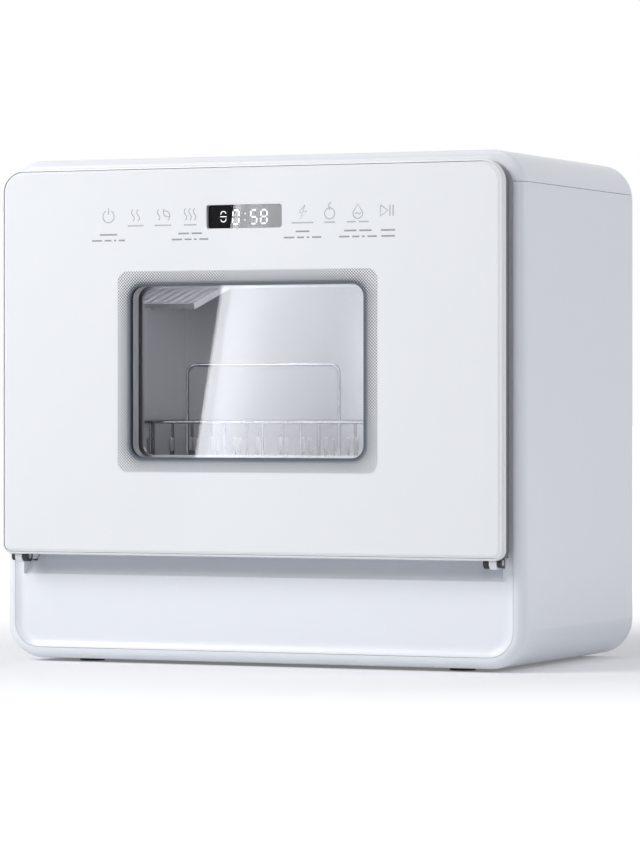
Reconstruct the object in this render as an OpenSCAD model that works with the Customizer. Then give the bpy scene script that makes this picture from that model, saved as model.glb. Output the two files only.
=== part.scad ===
// Countertop dishwasher: a white moulded casing with a glass-fronted drop-down door, a steel tub with a
// pull-out wire basket, a spray arm, a heater pump, a side water tank and a drying blower.
// Millimetres. X runs to the right, Y to the back and Z up. The origin is on the ground under the middle
// of the machine. A "depth" is measured backwards from the front plane of the casing, so the door has
// negative depths.

/* [Casing] */
// Width of the casing
body_w = 484; // [440:1:520]
// Height of the whole machine, feet included
body_h = 435; // [425:1:470]
// Depth of the casing behind its front plane
casing_d = 269; // [262:1:330]
// Radius of the casing's four long corners
corner_r = 32; // [24:1:40]
// Wall of the moulded casing
wall = 2.5; // [2:0.1:3]
// Rounding of the casing's front edge
front_round = 9.5; // [8:0.5:12]
// Width of the rear flange
rear_flange = 13; // [11:0.5:16]
// Drop from the top to the seam between side shell and top cover
seam_drop = 27; // [25:0.5:31]
// Gap left at that seam
seam_gap = 0.4; // [0.2:0.1:0.8]
// Height of the feet below the casing
foot_h = 3; // [2:0.5:6]
// Radius of a foot
foot_r = 11; // [8:0.5:16]

/* [Front frame] */
// Thickness of the front frame
frame_t = 4; // [3.5:0.1:5]
// Gap between the front frame and the casing
frame_gap = 0.3; // [0.2:0.1:0.6]
// Width of the cove that runs round the plinth
cove_w = 8.5; // [6:0.5:12]
// Depth of that cove, and of the plinth's face
cove_depth = 3; // [2:0.25:3.5]
// Top of the plinth's face, where the finger recess begins
plinth_top = 76; // [70:1:80]
// Underside of the sill above the finger recess
sill_z = 96; // [92:1:98]
// Depth of the finger recess
recess_depth = 20; // [14:1:24]
// Distance of the recess's ends from the casing's sides
recess_inset = 18.5; // [18:0.5:20]

/* [Door] */
// How far the door's sides stand in from the casing's sides
door_inset = 9.15; // [7:0.05:14]
// Bottom edge of the door
door_bottom = 94; // [92:0.5:96]
// Drop from the top to the door's upper edge
door_drop = 9; // [7:0.5:15]
// How far the door stands in front of the casing
door_proud = 24; // [24:0.5:28]
// Radius of the door's upper corners
door_top_r = 20; // [14:1:26]
// Radius of the door's lower corners
door_bottom_r = 9; // [7:0.5:12]
// Thickness of the white trim round the glass
trim_t = 7; // [6:0.5:8]
// Width of the trim's rim beside the glass
rim_w = 2; // [1.5:0.1:3]
// Thickness of the front glass
glass_t = 4; // [3:0.5:5]
// Bevel of the front glass
glass_bevel = 1.2; // [0.8:0.1:1.8]
// Clearance round the front glass
glass_gap = 0.35; // [0.2:0.05:0.5]
// Running gap between the closed door and the front frame
door_gap = 1.2; // [1:0.1:2]
// Width of the clear window
window_w = 216; // [180:1:240]
// Bottom of the clear window
window_bottom = 178; // [170:1:190]
// Drop from the top to the clear window's upper edge
window_drop = 111; // [105:1:125]
// Corner radius of the clear window
window_r = 11; // [6:0.5:16]
// Thickness of the inner pane
pane_t = 3.6; // [3:0.1:4]
// Left edge of the display
display_left = -36.7; // [-60:0.1:-20]
// Width of the display
display_w = 70; // [50:0.5:90]
// Drop from the top to the display's lower edge
display_drop = 63; // [59:0.5:69]
// Height of the display
display_h = 20; // [14:0.5:22]

/* [Hinge and latch] */
// Height of the hinge axis
hinge_z = 92; // [91:0.1:93]
// Distance of the hinge axis in front of the casing
hinge_proud = 11; // [10.5:0.1:12]
// Middle of each hinge arm from the casing's side
hinge_inset = 21.5; // [21:0.1:23]
// Thickness of the fixed hinge arm
arm_t = 6.4; // [5:0.1:7]
// Radius of the hinge pins
pin_r = 2.5; // [2:0.1:3]
// Running clearance of pins in their holes
pin_gap = 0.05; // [0.02:0.01:0.1]
// Drop from the top to the latch
latch_drop = 23.5; // [23:0.1:24]

/* [Tub] */
// Space between the casing's left side and the tub, for the tank
tub_left_gap = 66; // [62:1:72]
// Space between the casing's right side and the tub
tub_right_gap = 38; // [36:1:46]
// Floor of the tub
tub_floor = 104; // [104:0.5:106]
// Drop from the top to the tub's ceiling
tub_drop = 39; // [37:1:45]
// Space between the tub's back wall and the casing's back
tub_back_gap = 44; // [41:1:49]
// Corner radius of the tub
tub_r = 8; // [6:0.5:12]
// Sheet thickness of the tub
sheet = 1.2; // [0.8:0.1:1.6]

/* [Basket] */
// Radius of the basket's wires
wire_r = 1.4; // [1.2:0.1:1.6]
// Space between the basket and each side of the tub
basket_side_gap = 20; // [18:0.5:22]
// Depth at which the basket's front stands
basket_front = 8; // [7:0.5:12]
// Space between the basket and the tub's back wall
basket_back_gap = 13; // [11:1:27]
// Height of the basket's floor above the ground
basket_floor = 135; // [135:0.5:140]
// Height of the basket's top rail
basket_rail = 208; // [200:1:215]
// Height of the handle hoop's top
hoop_top = 257; // [245:1:262]
// Number of plate tines in a row
tine_count = 11; // [6:1:11]
// Radius of the basket's rollers
roller_r = 9; // [8:0.5:10]

/* [Spray and drain] */
// Length of the spray arm from its axis
arm_reach = 92; // [80:1:95]
// Height of the spray arm's underside
arm_z = 113; // [113:0.5:114]
// Radius of the sump's mouth
sump_r = 46; // [42:1:48]
// Radius of the removable filter cup
cup_r = 25; // [20:0.5:28]
// Outer radius of the inlet thread
inlet_r = 13.2; // [12:0.1:14]
// Outer radius of the drain spigot
drain_r = 9; // [8:0.5:10]

/* [Hidden] */
$fn = 48;

white = [0.93, 0.94, 0.96];
soft_grey = [0.72, 0.73, 0.76];
dark_grey = [0.36, 0.37, 0.4];
black = [0.09, 0.09, 0.1];
steel = [0.68, 0.7, 0.72];
clear = [0.8, 0.88, 0.92, 0.4];
green = [0.12, 0.4, 0.25];

side = body_w / 2;
seam_z = body_h - seam_drop;
recess_x = side - recess_inset;
door_w = body_w - 2 * door_inset;
door_top = body_h - door_drop;
window_top = body_h - window_drop;
display_bottom = body_h - display_drop;
hinge_x = side - hinge_inset;
latch_z = body_h - latch_drop;
tub_left = tub_left_gap - side;
tub_right = side - tub_right_gap;
tub_top = body_h - tub_drop;
tub_back = casing_d - tub_back_gap;
basket_w = tub_right - tub_left - 2 * basket_side_gap;
basket_d = tub_back - basket_back_gap - basket_front;
front_pitch = (basket_w - 20.5) / 9;
hoop_w = 4 * front_pitch;
tine_pitch = (basket_w - 120) / (tine_count - 1);
hub_x = (tub_left + tub_right) / 2;      // middle of the spray arm
hub_depth = 118;
filter_x = hub_x + 98;
front_y = (door_proud - casing_d) / 2;   // Y of the casing's front plane
lap = 0.3;                               // seat gap between pieces that rest on each other
eps = 0.01;

function at(depth) = front_y + depth;

// Turns a drawing in X and Z into a plate that grows backwards.
module upright() { translate([0, front_y, 0]) mirror([0, 1, 0]) rotate([90, 0, 0]) children(); }
module slab(d0, d1) { upright() translate([0, 0, d0]) linear_extrude(d1 - d0) children(); }

// Extrudes a drawing in depth and Z along X.
module across(x0, x1) {
    translate([x0, front_y, 0]) rotate([90, 0, 90]) linear_extrude(x1 - x0) children();
}

// Rounded rectangle with its own radii below and above.
module rounded(x0, x1, z0, z1, rb, rt) {
    translate([x0 + rb, z0]) square([x1 - x0 - 2 * rb, rb + eps]);
    translate([x0, z0 + rb]) square([x1 - x0, z1 - z0 - rb - rt]);
    translate([x0 + rt, z1 - rt - eps]) square([x1 - x0 - 2 * rt, rt + eps]);
    for (x = [x0 + rb, x1 - rb]) translate([x, z0 + rb]) circle(rb);
    for (x = [x0 + rt, x1 - rt]) translate([x, z1 - rt]) circle(rt);
}

// Sweeps a profile round a rounded rectangle: its x is outwards from the edge, its y is depth.
module around(x0, x1, z0, z1, rb, rt) {
    upright() {
        translate([x1 - rt, z1 - rt, 0]) rotate_extrude(angle = 90) translate([rt, 0]) children();
        translate([x0 + rt, z1 - rt, 0]) rotate([0, 0, 90]) rotate_extrude(angle = 90)
            translate([rt, 0]) children();
        translate([x0 + rb, z0 + rb, 0]) rotate([0, 0, 180]) rotate_extrude(angle = 90)
            translate([rb, 0]) children();
        translate([x1 - rb, z0 + rb, 0]) rotate([0, 0, 270]) rotate_extrude(angle = 90)
            translate([rb, 0]) children();
        translate([x1, z1 - rt, 0]) rotate([90, 0, 0]) linear_extrude(z1 - z0 - rb - rt) children();
        translate([x0 + rt, z1, 0]) rotate([90, 0, 90]) linear_extrude(x1 - x0 - 2 * rt) children();
        translate([x0, z0 + rb, 0]) rotate([90, 0, 180]) linear_extrude(z1 - z0 - rb - rt) children();
        translate([x1 - rb, z0, 0]) rotate([90, 0, 270]) linear_extrude(x1 - x0 - 2 * rb) children();
    }
}

module rod_x(x0, x1, d, z, r) { translate([x0, at(d), z]) rotate([0, 90, 0]) cylinder(r = r, h = x1 - x0); }
module rod_y(x, d0, d1, z, r) { translate([x, at(d0), z]) rotate([-90, 0, 0]) cylinder(r = r, h = d1 - d0); }
module rod_z(x, d, z0, z1, r) { translate([x, at(d), z0]) cylinder(r = r, h = z1 - z0); }
module block(x0, x1, d0, d1, z0, z1) { translate([x0, at(d0), z0]) cube([x1 - x0, d1 - d0, z1 - z0]); }

// ---------------------------------------------------------------- casing

ledge = 6;                               // ledge that carries the front frame
screw_r = 1.5;
screw_x = side - 22;
screw_zs = [45, body_h / 2, body_h - 45];
boss_r = 4.5;
panel_t = 2.5;
panel_back = casing_d - wall;            // rear face of the back panel, behind the flange's inner face
boss_len = 12;

module shell_profile() {
    r = front_round;
    translate([-r, r]) intersection() {
        difference() { circle(r); circle(r - wall); }
        translate([0, -r]) square(r);
    }
    translate([-r, wall / 2]) square([r - 2 * wall, frame_t + wall / 2]);
    translate([-r - ledge, frame_t]) square([ledge + r - 2 * wall, wall - 0.5]);
    translate([-wall, r]) square([wall, casing_d - r - wall]);
    translate([-wall, casing_d - wall]) intersection() { circle(wall); square(wall); }
    translate([-rear_flange, casing_d - wall]) square([rear_flange - wall, wall]);
}

module whole_shell() { around(-side, side, foot_h, body_h, corner_r, corner_r) shell_profile(); }

foot_x = side - 68;
foot_depths = [34, casing_d - 40];
foot_stem_r = 3;
foot_stem_h = 4;

module side_shell() {
    color(white) difference() {
        union() {
            intersection() {
                whole_shell();
                block(-side - 1, side + 1, -1, casing_d + 1, 0, seam_z - seam_gap);
            }
            // bosses for the back panel's screws, each on a web from the wall
            for (s = [-1, 1], z = screw_zs) {
                rod_y(s * screw_x, panel_back - panel_t - lap - boss_len, panel_back - panel_t - lap, z, boss_r);
                block(s > 0 ? screw_x : -side + wall / 2, s > 0 ? side - wall / 2 : -screw_x,
                      panel_back - panel_t - lap - boss_len, panel_back - panel_t - lap, z - 1, z + 1);
            }
        }
        for (x = [-foot_x, foot_x], d = foot_depths)
            rod_z(x, d, 0, foot_h + wall + 1, foot_stem_r + pin_gap);
        for (s = [-1, 1], z = screw_zs)
            rod_y(s * screw_x, panel_back - panel_t - boss_len + 2, casing_d, z, screw_r + pin_gap);
    }
}

// Filler well in the top cover, over the water tank. The lid's rear edge is a barrel that turns on the pin.
lid_x = 50 - side;
lid_depth = 150;
lid_w = 34;
lid_d = 44;
lid_t = 3;
lid_gap = 0.5;
well_d = 9;
well_r = 5;
neck_r = 12;
stopper_r = neck_r - 3.2;
barrel_r = 1.8;
lid_pin_r = 0.9;
lid_pin_len = lid_w + 4;
lid_pin_z = body_h - barrel_r;
lid_pin_depth = lid_depth + lid_d / 2 - barrel_r;
thumb_w = 22;
thumb_d = 9;
skirt_in = 5.3;
skirt_gap = 0.7;

// Outline of the lid from above: rounded corners in front, square ones behind.
module filler_outline(grow) {
    w = lid_w + 2 * grow;
    low = -lid_d / 2 - grow;
    translate([-w / 2 + well_r, low]) square([w - 2 * well_r, well_r]);
    translate([-w / 2, low + well_r]) square([w, lid_d + 2 * grow - well_r]);
    for (x = [well_r - w / 2, w / 2 - well_r]) translate([x, low + well_r]) circle(well_r);
}
module at_lid(z) { translate([lid_x, at(lid_depth), z]) children(); }
module notch(grow, z) {
    at_lid(z) translate([-thumb_w / 2 - grow, -lid_d / 2 - thumb_d - grow, 0])
        cube([thumb_w + 2 * grow, thumb_d + well_r + grow, well_d + wall]);
}

module top_cover() {
    color(white) difference() {
        union() {
            intersection() {
                whole_shell();
                block(-side - 1, side + 1, -1, casing_d + 1, seam_z, body_h + 1);
            }
            // skirts that reach down inside the side shell
            for (s = [-1, 1])
                block(s > 0 ? side - skirt_in : -side + wall + skirt_gap, s > 0 ? side - wall - skirt_gap : -side + skirt_in,
                      front_round + 8, casing_d - 20, seam_z - 10, seam_z + 5);
            at_lid(body_h - well_d - wall) linear_extrude(well_d + wall / 2) filler_outline(lid_gap + wall);
            intersection() {
                notch(wall, body_h - well_d - wall);
                block(-side, side, 0, casing_d, 0, body_h - wall / 2);
            }
        }
        at_lid(body_h - well_d) linear_extrude(well_d + 1) filler_outline(lid_gap);
        notch(0, body_h - well_d);
        rod_z(lid_x, lid_depth, body_h - well_d - 2 * wall, body_h, neck_r + lap);
        rod_x(lid_x - lid_pin_len / 2, lid_x + lid_pin_len / 2, lid_pin_depth, lid_pin_z, lid_pin_r + pin_gap);
    }
}

module filler_lid() {
    color(white) difference() {
        union() {
            at_lid(body_h - lid_t) linear_extrude(lid_t) intersection() {
                filler_outline(0);
                translate([-lid_w, -lid_d]) square([2 * lid_w, lid_d + lid_pin_depth - lid_depth]);
            }
            rod_x(lid_x - lid_w / 2, lid_x + lid_w / 2, lid_pin_depth, lid_pin_z, barrel_r);
            // stopper that closes the neck
            rod_z(lid_x, lid_depth, body_h - well_d - 1.5, body_h - 1, stopper_r);
        }
        rod_x(lid_x - lid_w, lid_x + lid_w, lid_pin_depth, lid_pin_z, lid_pin_r + pin_gap);
    }
}

module filler_pin() {
    color(steel) rod_x(lid_x - lid_pin_len / 2 + 0.1, lid_x + lid_pin_len / 2 - 0.1, lid_pin_depth, lid_pin_z, lid_pin_r);
}

crest = front_round + frame_gap;         // inset of the front frame from the casing's outside
frame_r = corner_r - crest;
frame_x = side - crest;
frame_low = foot_h + crest;
frame_high = body_h - crest;
cove_r = (cove_w * cove_w + cove_depth * cove_depth) / (2 * cove_depth);
recess_wall = 2.5;
plinth_t = cove_depth + wall;
sill_top = tub_floor - sheet - lap;
slot_half = arm_t / 2 + 0.6;
cheek_t = 2.5;

// Circle that scoops the cove: it meets the frame's edge and lies flat on the plinth's face.
module cove_tool() {
    intersection() {
        translate([-cove_w, cove_depth - cove_r]) circle(cove_r, $fn = 96);
        translate([-cove_w, -1]) square([2 * cove_w, cove_depth + 1]);
    }
}

module front_bezel() {
    color(white) difference() {
        union() {
            slab(0, frame_t) rounded(-frame_x, frame_x, frame_low, frame_high, frame_r, frame_r);
            slab(0, plinth_t) intersection() {
                rounded(-frame_x + ledge, frame_x - ledge, frame_low + ledge, frame_high, frame_r - ledge, frame_r);
                translate([-side, 0]) square([body_w, plinth_top]);
            }
            // walls of the finger recess and the sill under the tub
            across(-recess_x - recess_wall, recess_x + recess_wall) polygon([
                [0, sill_top], [0, plinth_top - 3], [plinth_t, plinth_top - 3],
                [recess_depth + recess_wall, sill_z - 2], [recess_depth + recess_wall, sill_top]
            ]);
            // cheeks that carry the hinge brackets
            for (s = [-1, 1])
                block(s * hinge_x - (s > 0 ? -arm_t / 2 : arm_t / 2 + cheek_t),
                      s * hinge_x + (s > 0 ? arm_t / 2 + cheek_t : -arm_t / 2),
                      frame_t, recess_depth + 14, sill_z + 2, 122);
        }
        slab(-1, plinth_t + 30) rounded(tub_left, tub_right, tub_floor, tub_top, tub_r, tub_r);
        around(-frame_x, frame_x, frame_low, frame_high, frame_r, frame_r)
            intersection() { cove_tool(); translate([-frame_r, -2]) square([frame_r + 1, 10]); }
        slab(-1, cove_depth) intersection() {
            rounded(-frame_x + cove_w, frame_x - cove_w, frame_low + cove_w, frame_high,
                    frame_r - cove_w, frame_r - cove_w);
            translate([-side, 0]) square([body_w, plinth_top]);
        }
        across(-recess_x, recess_x) polygon([
            [-1, plinth_top - eps], [cove_depth, plinth_top - eps], [recess_depth, sill_z], [-1, sill_z]
        ]);
        // slots for the hinge arms and the latch
        for (s = [-1, 1])
            block(s * hinge_x - slot_half, s * hinge_x + slot_half, -1, recess_depth + 4,
                  hinge_z - 5, hinge_z + 5);
        block(-8, 8, -1, frame_t + 1, latch_z - 4, latch_z + 5);
    }
}

// Back panel with a recessed bay for the two water connections
bay_x = [filter_x - 54, filter_x + 66];
bay_z = [20, 76];
bay_depth = 30;
bay_r = 3;
inlet_x = filter_x - 20;
drain_x = filter_x + 34;
port_z = 48;
gland_x = 62 - side;
gland_z = 46;
gland_r = 9;
vent_count = 9;
vent_pitch = 11;
vent_low = body_h - 145;
panel_inset = wall + 1.8;

module back_panel() {
    color(white) difference() {
        union() {
            difference() {
                slab(panel_back - panel_t, panel_back)
                    rounded(-side + panel_inset, side - panel_inset, foot_h + panel_inset, body_h - panel_inset,
                            corner_r - panel_inset, corner_r - panel_inset);
                slab(panel_back - panel_t - 1, casing_d)
                    rounded(bay_x[0], bay_x[1], bay_z[0], bay_z[1], bay_r, bay_r);
            }
            slab(panel_back - bay_depth, panel_back - eps) difference() {
                rounded(bay_x[0] - panel_t, bay_x[1] + panel_t, bay_z[0] - panel_t, bay_z[1] + panel_t,
                        bay_r + panel_t, bay_r + panel_t);
                rounded(bay_x[0], bay_x[1], bay_z[0], bay_z[1], bay_r, bay_r);
            }
            slab(panel_back - bay_depth - panel_t, panel_back - bay_depth + eps)
                rounded(bay_x[0] - panel_t, bay_x[1] + panel_t, bay_z[0] - panel_t, bay_z[1] + panel_t,
                        bay_r + panel_t, bay_r + panel_t);
        }
        rod_y(inlet_x, panel_back - bay_depth - panel_t - 1, panel_back, port_z, inlet_r + lap);
        rod_y(drain_x, panel_back - bay_depth - panel_t - 1, panel_back, port_z, drain_r + lap);
        rod_y(gland_x, panel_back - panel_t - 1, casing_d, gland_z, gland_r + lap);
        for (s = [-1, 1], z = screw_zs)
            rod_y(s * screw_x, panel_back - panel_t - 1, casing_d, z, screw_r + 0.2);
        // louvres for the warm air
        for (side_of = [-1, 1], i = [0 : vent_count - 1])
            slab(panel_back - panel_t - 1, casing_d)
                translate([side_of * 105, vent_low + i * vent_pitch])
                    { translate([-42, -1.75]) square([84, 3.5]); for (e = [-42, 42]) translate([e, 0]) circle(1.75); }
    }
}

module rear_screws() {
    color(steel) for (s = [-1, 1], z = screw_zs) {
        rod_y(s * screw_x, panel_back - panel_t - boss_len + 3, panel_back + 1, z, screw_r);
        difference() {
            rod_y(s * screw_x, panel_back, panel_back + 2, z, 3);
            translate([s * screw_x - 2.2, at(panel_back + 1), z - 0.4]) cube([4.4, 2, 0.8]);
            translate([s * screw_x - 0.4, at(panel_back + 1), z - 2.2]) cube([0.8, 2, 4.4]);
        }
    }
}

module feet() {
    color(black) for (x = [-foot_x, foot_x], d = foot_depths) {
        rod_z(x, d, 0, foot_h, foot_r);
        rod_z(x, d, foot_h - eps, foot_h + wall + foot_stem_h - 1, foot_stem_r);
    }
}

tray_low = foot_h + wall;
tray_t = 2.5;
tray_top = tray_low + tray_t;

tray_x = side - 42;
tray_d = [32, casing_d - 50];
tray_rim = 2;

module base_tray() {
    color(soft_grey) difference() {
        block(-tray_x, tray_x, tray_d[0], tray_d[1], tray_low, tray_top + 6);
        block(-tray_x + tray_rim, tray_x - tray_rim, tray_d[0] + tray_rim, tray_d[1] - tray_rim,
              tray_top, tray_top + 7);
        for (x = [-foot_x, foot_x], d = foot_depths) rod_z(x, d, 0, tray_top + 1, foot_stem_r + 2);
    }
}

// ---------------------------------------------------------------- tub

tub_front = frame_t + lap;
hub_r = 10;
post_r = 8;
duct_x = hub_x + 50;
duct_r = 16;
rail_low = basket_floor - 16.4;
rail_out = 11;
rail_t = 2;
rail_web = 1.5;
roller_play = 1.2;                       // between a roller and the upper lip of its rail
tank_port_z = 150;
tank_port_depth = 180;

pan_top = tub_floor + tub_r + 1;         // seam between the base pan and the walls
tub_slip = 0.1;                          // gap left at the tub's seams
flange_out = 14;
flange_up = 7;
flange_low = 124;

// Sheet of the tub's outline between two heights
module tub_sheet(z0, z1) {
    slab(tub_front, tub_back) intersection() {
        difference() {
            rounded(tub_left - sheet, tub_right + sheet, tub_floor - sheet, tub_top + sheet,
                    tub_r + sheet, tub_r + sheet);
            rounded(tub_left, tub_right, tub_floor, tub_top, tub_r, tub_r);
        }
        translate([-side, z0]) square([body_w, z1 - z0]);
    }
}

module tub_wrap() {
    color(steel) difference() {
        union() {
            tub_sheet(pan_top + tub_slip, body_h);
            // front flange on three sides, behind the front frame
            slab(tub_front, tub_front + sheet) difference() {
                rounded(tub_left - flange_out, tub_right + flange_out, tub_floor, tub_top + flange_up,
                        4, tub_r + flange_up);
                rounded(tub_left, tub_right, tub_floor, tub_top, tub_r, tub_r);
                translate([-side, 0]) square([body_w, flange_low]);
            }
        }
        rod_z(duct_x, hub_depth, tub_top - 1, tub_top + 5, duct_r);
        rod_x(tub_left - 5, tub_left + 1, tank_port_depth, tank_port_z, 7);
    }
}

module tub_rear() {
    // closes the tub behind, with two pressed ribs on its outer side
    color(steel) union() {
        slab(tub_back + tub_slip, tub_back + tub_slip + sheet)
            rounded(tub_left - sheet, tub_right + sheet, tub_floor - sheet, tub_top + sheet,
                    tub_r + sheet, tub_r + sheet);
        for (z = [tub_floor + 90, tub_top - 90])
            slab(tub_back + tub_slip, tub_back + tub_slip + 2 * sheet)
                translate([tub_left + 30, z - 5]) square([tub_right - tub_left - 60, 10]);
    }
}

module tub_base() {
    color(steel) difference() {
        tub_sheet(0, pan_top);
        rod_z(filter_x, hub_depth, tub_floor - 5, tub_floor + 1, sump_r);
        rod_z(hub_x, hub_depth, tub_floor - 5, tub_floor + 1, hub_r + lap);
    }
}

module tub_seal() {
    // hollow lip seal: a ring with a groove, seated on the front frame's face
    color(dark_grey) around(tub_left - 5, tub_right + 5, tub_floor - 5, tub_top + 5, tub_r + 5, tub_r + 5)
        difference() {
            translate([-4, -door_gap + lap]) square([6, door_gap - lap]);
            translate([-2, -door_gap + lap - eps]) square([2, 0.4]);
        }
}

module rail(s) {
    wall_x = s < 0 ? tub_left : tub_right;
    module strip(a, b, z0, z1) {
        block(s < 0 ? wall_x + a : wall_x - b, s < 0 ? wall_x + b : wall_x - a, 10, tub_back - 9, z0, z1);
    }
    top = rail_low + rail_t + lap + 2 * roller_r + roller_play;
    color(soft_grey) union() {
        strip(0, rail_web, rail_low, top + rail_t);
        strip(0, rail_web + rail_out, rail_low, rail_low + rail_t);
        strip(0, rail_web + rail_out, top, top + rail_t);
    }
}
module rails() {
    rail(-1);
    rail(1);
}

// Slatted shelf in the upper left corner: it slopes up towards the back and hooks on the left wall
shelf_w = 93;
shelf_front = 43;
shelf_len = tub_back - shelf_front - 10;
shelf_low = tub_top - 90.5;
shelf_tilt = 15;
slat_count = 11;
slat_w = 3.6;
slat_t = 3;

module cup_shelf() {
    pitch = (shelf_w - slat_w) / (slat_count - 1);
    color(soft_grey) translate([tub_left + lap, at(shelf_front), shelf_low]) rotate([shelf_tilt, 0, 0]) union() {
        for (i = [0 : slat_count - 1]) translate([i * pitch, 0, 0]) cube([slat_w, shelf_len, slat_t]);
        for (y = [0, shelf_len / 2, shelf_len - 5]) translate([0, y, slat_t - 1.5]) cube([shelf_w, 5, 3.5]);
        translate([shelf_w - 1, 0, 0]) cube([4, shelf_len, 5.5]);
    }
}

// ---------------------------------------------------------------- hinges and latch

module bracket(s) {
    color(black) difference() {
        translate([s * hinge_x - arm_t / 2, 0, 0]) union() {
            rod_x(0, arm_t, -hinge_proud, hinge_z, 5.5);
            block(0, arm_t, -hinge_proud, recess_depth + 12, hinge_z - 3.5, hinge_z + 3.5);
            block(0, arm_t, recess_depth - 6 + 12, recess_depth + 12, hinge_z - 3.5, 120);
        }
        rod_x(s * hinge_x - arm_t, s * hinge_x + arm_t, -hinge_proud, hinge_z, pin_r + pin_gap);
    }
}
module hinge_brackets() {
    bracket(-1);
    bracket(1);
}

clevis_gap = 0.5;
cheek_in = 5;
cheek_out = 3.6;
clevis_half = arm_t / 2 + clevis_gap;
clevis_low_z = hinge_z + 7.2;
clevis_high_z = clevis_low_z + 6;
clevis_d = [-hinge_proud - 4.5, -hinge_proud + 4.5];

module clevis(s) {
    module mirrored() { translate([s * hinge_x, 0, 0]) mirror([s > 0 ? 1 : 0, 0, 0]) children(); }
    color(black) difference() {
        mirrored() union() {
            // the thick cheek is on the inner side
            block(-clevis_half - cheek_out, clevis_half + cheek_in, clevis_d[0], clevis_d[1], clevis_low_z, clevis_high_z);
            for (c = [[clevis_half, cheek_in, 5], [-clevis_half - cheek_out, cheek_out, 4]]) {
                rod_x(c[0], c[0] + c[1], -hinge_proud, hinge_z, c[2]);
                block(c[0], c[0] + c[1], -hinge_proud - c[2] + 0.5, -hinge_proud + c[2] - 0.5, hinge_z, clevis_low_z + 1);
            }
        }
        rod_x(s * hinge_x - 20, s * hinge_x + 20, -hinge_proud, hinge_z, pin_r + pin_gap);
    }
}
module hinge_clevises() {
    clevis(-1);
    clevis(1);
}

module hinge_pins() {
    color(steel) for (s = [-1, 1])
        rod_x(s * hinge_x - clevis_half - (s < 0 ? cheek_out : cheek_in), s * hinge_x + clevis_half + (s < 0 ? cheek_in : cheek_out),
              -hinge_proud, hinge_z, pin_r);
}

hook_len = 13;
hook_w = 8;
hook_base_w = 18;
hook_base_d = -7.5;

module latch_hook() {
    color(soft_grey) union() {
        block(-hook_base_w / 2, hook_base_w / 2, hook_base_d, -door_gap - 3.6, latch_z - 7, latch_z + 5);
        block(-hook_w / 2, hook_w / 2, hook_base_d, hook_len, latch_z - 3, latch_z + 1);
        across(-hook_w / 2, hook_w / 2) polygon([
            [hook_len - 5, latch_z + 0.5], [hook_len - 5, latch_z + 3.5], [hook_len, latch_z + 1], [hook_len, latch_z + 0.5]
        ]);
    }
}

module latch_receiver() {
    color(dark_grey) difference() {
        block(-16, 16, frame_t + eps, 26, latch_z - 6, latch_z + 7);
        block(-8, 8, frame_t - 1, 23, latch_z - 4, latch_z + 5);
    }
}

// ---------------------------------------------------------------- water

sump_low = 42;
sump_wall = 3;
sump_top = tub_floor - sheet - lap;

module sump() {
    color(soft_grey) difference() {
        union() {
            rod_z(filter_x, hub_depth, sump_low, sump_top, sump_r + 1.5);
            rod_z(filter_x, hub_depth, sump_top - 3, sump_top, sump_r + 5);
            rod_x(filter_x - sump_r - 4, filter_x, hub_depth, sump_low + 14, 11);
            rod_y(filter_x, hub_depth, hub_depth + sump_r + 4, sump_low + 10, 8);
        }
        rod_z(filter_x, hub_depth, sump_low + sump_wall, sump_top + 1, sump_r + 1.5 - sump_wall);
        rod_x(filter_x - sump_r - 5, filter_x, hub_depth, sump_low + 14, 8.5);
        rod_y(filter_x, hub_depth, hub_depth + sump_r + 5, sump_low + 10, 6);
    }
}

module filter_plate() {
    color(steel) difference() {
        union() {
            rod_z(filter_x, hub_depth, tub_floor, tub_floor + 1, sump_r + 5);
            rod_z(filter_x, hub_depth, tub_floor - 4, tub_floor + 0.5, sump_r + 1.5 - sump_wall - lap);
        }
        rod_z(filter_x, hub_depth, tub_floor - 5, tub_floor - 1.5, sump_r - 3.5);
        rod_z(filter_x, hub_depth, tub_floor - 5, tub_floor + 2, cup_r + lap);
        // three rings of drain holes
        for (ring = [0 : 2], i = [0 : 17 + 3 * ring])
            translate([filter_x, at(hub_depth), tub_floor - 5])
                rotate([0, 0, i * 360 / (18 + 3 * ring)]) translate([cup_r + 4 + ring * 5.5, 0, 0]) cylinder(r = 1.3, h = 8);
    }
}

module filter_cup() {
    color(soft_grey) difference() {
        union() {
            rod_z(filter_x, hub_depth, 66, tub_floor + 1, cup_r);
            rod_z(filter_x, hub_depth, tub_floor + 1 + lap, tub_floor + 3.5, cup_r + 2.5);
            rod_z(filter_x, hub_depth, tub_floor, tub_floor + 2, cup_r);
            block(filter_x - 1.5, filter_x + 1.5, hub_depth - cup_r + 3, hub_depth + cup_r - 3, 76, 112);
        }
        difference() {
            rod_z(filter_x, hub_depth, 68, tub_floor + 4, cup_r - 2);
            block(filter_x - 1.5, filter_x + 1.5, hub_depth - cup_r, hub_depth + cup_r, 66, 112);
        }
        // windows that the mesh covers
        for (i = [0 : 7]) translate([filter_x, at(hub_depth), 72]) rotate([0, 0, 22.5 + i * 45])
            translate([cup_r - 4, -6, 0]) cube([8, 12, 24]);
    }
}

pump_low = tray_top;
pump_top = 66;
heater_top = 84;

module wash_pump() {
    color(dark_grey) union() {
        rod_z(hub_x, hub_depth, pump_low, 38, 25);
        for (i = [0 : 11]) translate([hub_x, at(hub_depth), pump_low + 4]) rotate([0, 0, i * 30])
            translate([24, -1, 0]) cube([3.5, 2, 24]);
        rod_z(hub_x, hub_depth, 37, pump_top, 33);
        rod_x(hub_x + 20, hub_x + 40, hub_depth, sump_low + 14, 10);
    }
}

module heater_ring() {
    color(steel) union() {
        rod_z(hub_x, hub_depth, pump_top, heater_top, 31);
        rod_z(hub_x, hub_depth, heater_top - 0.5, heater_top + 2, 14);
        for (d = [-7, 7]) rod_x(hub_x - 38, hub_x - 28, hub_depth + d, pump_top + 8, 2);
    }
}

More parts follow.
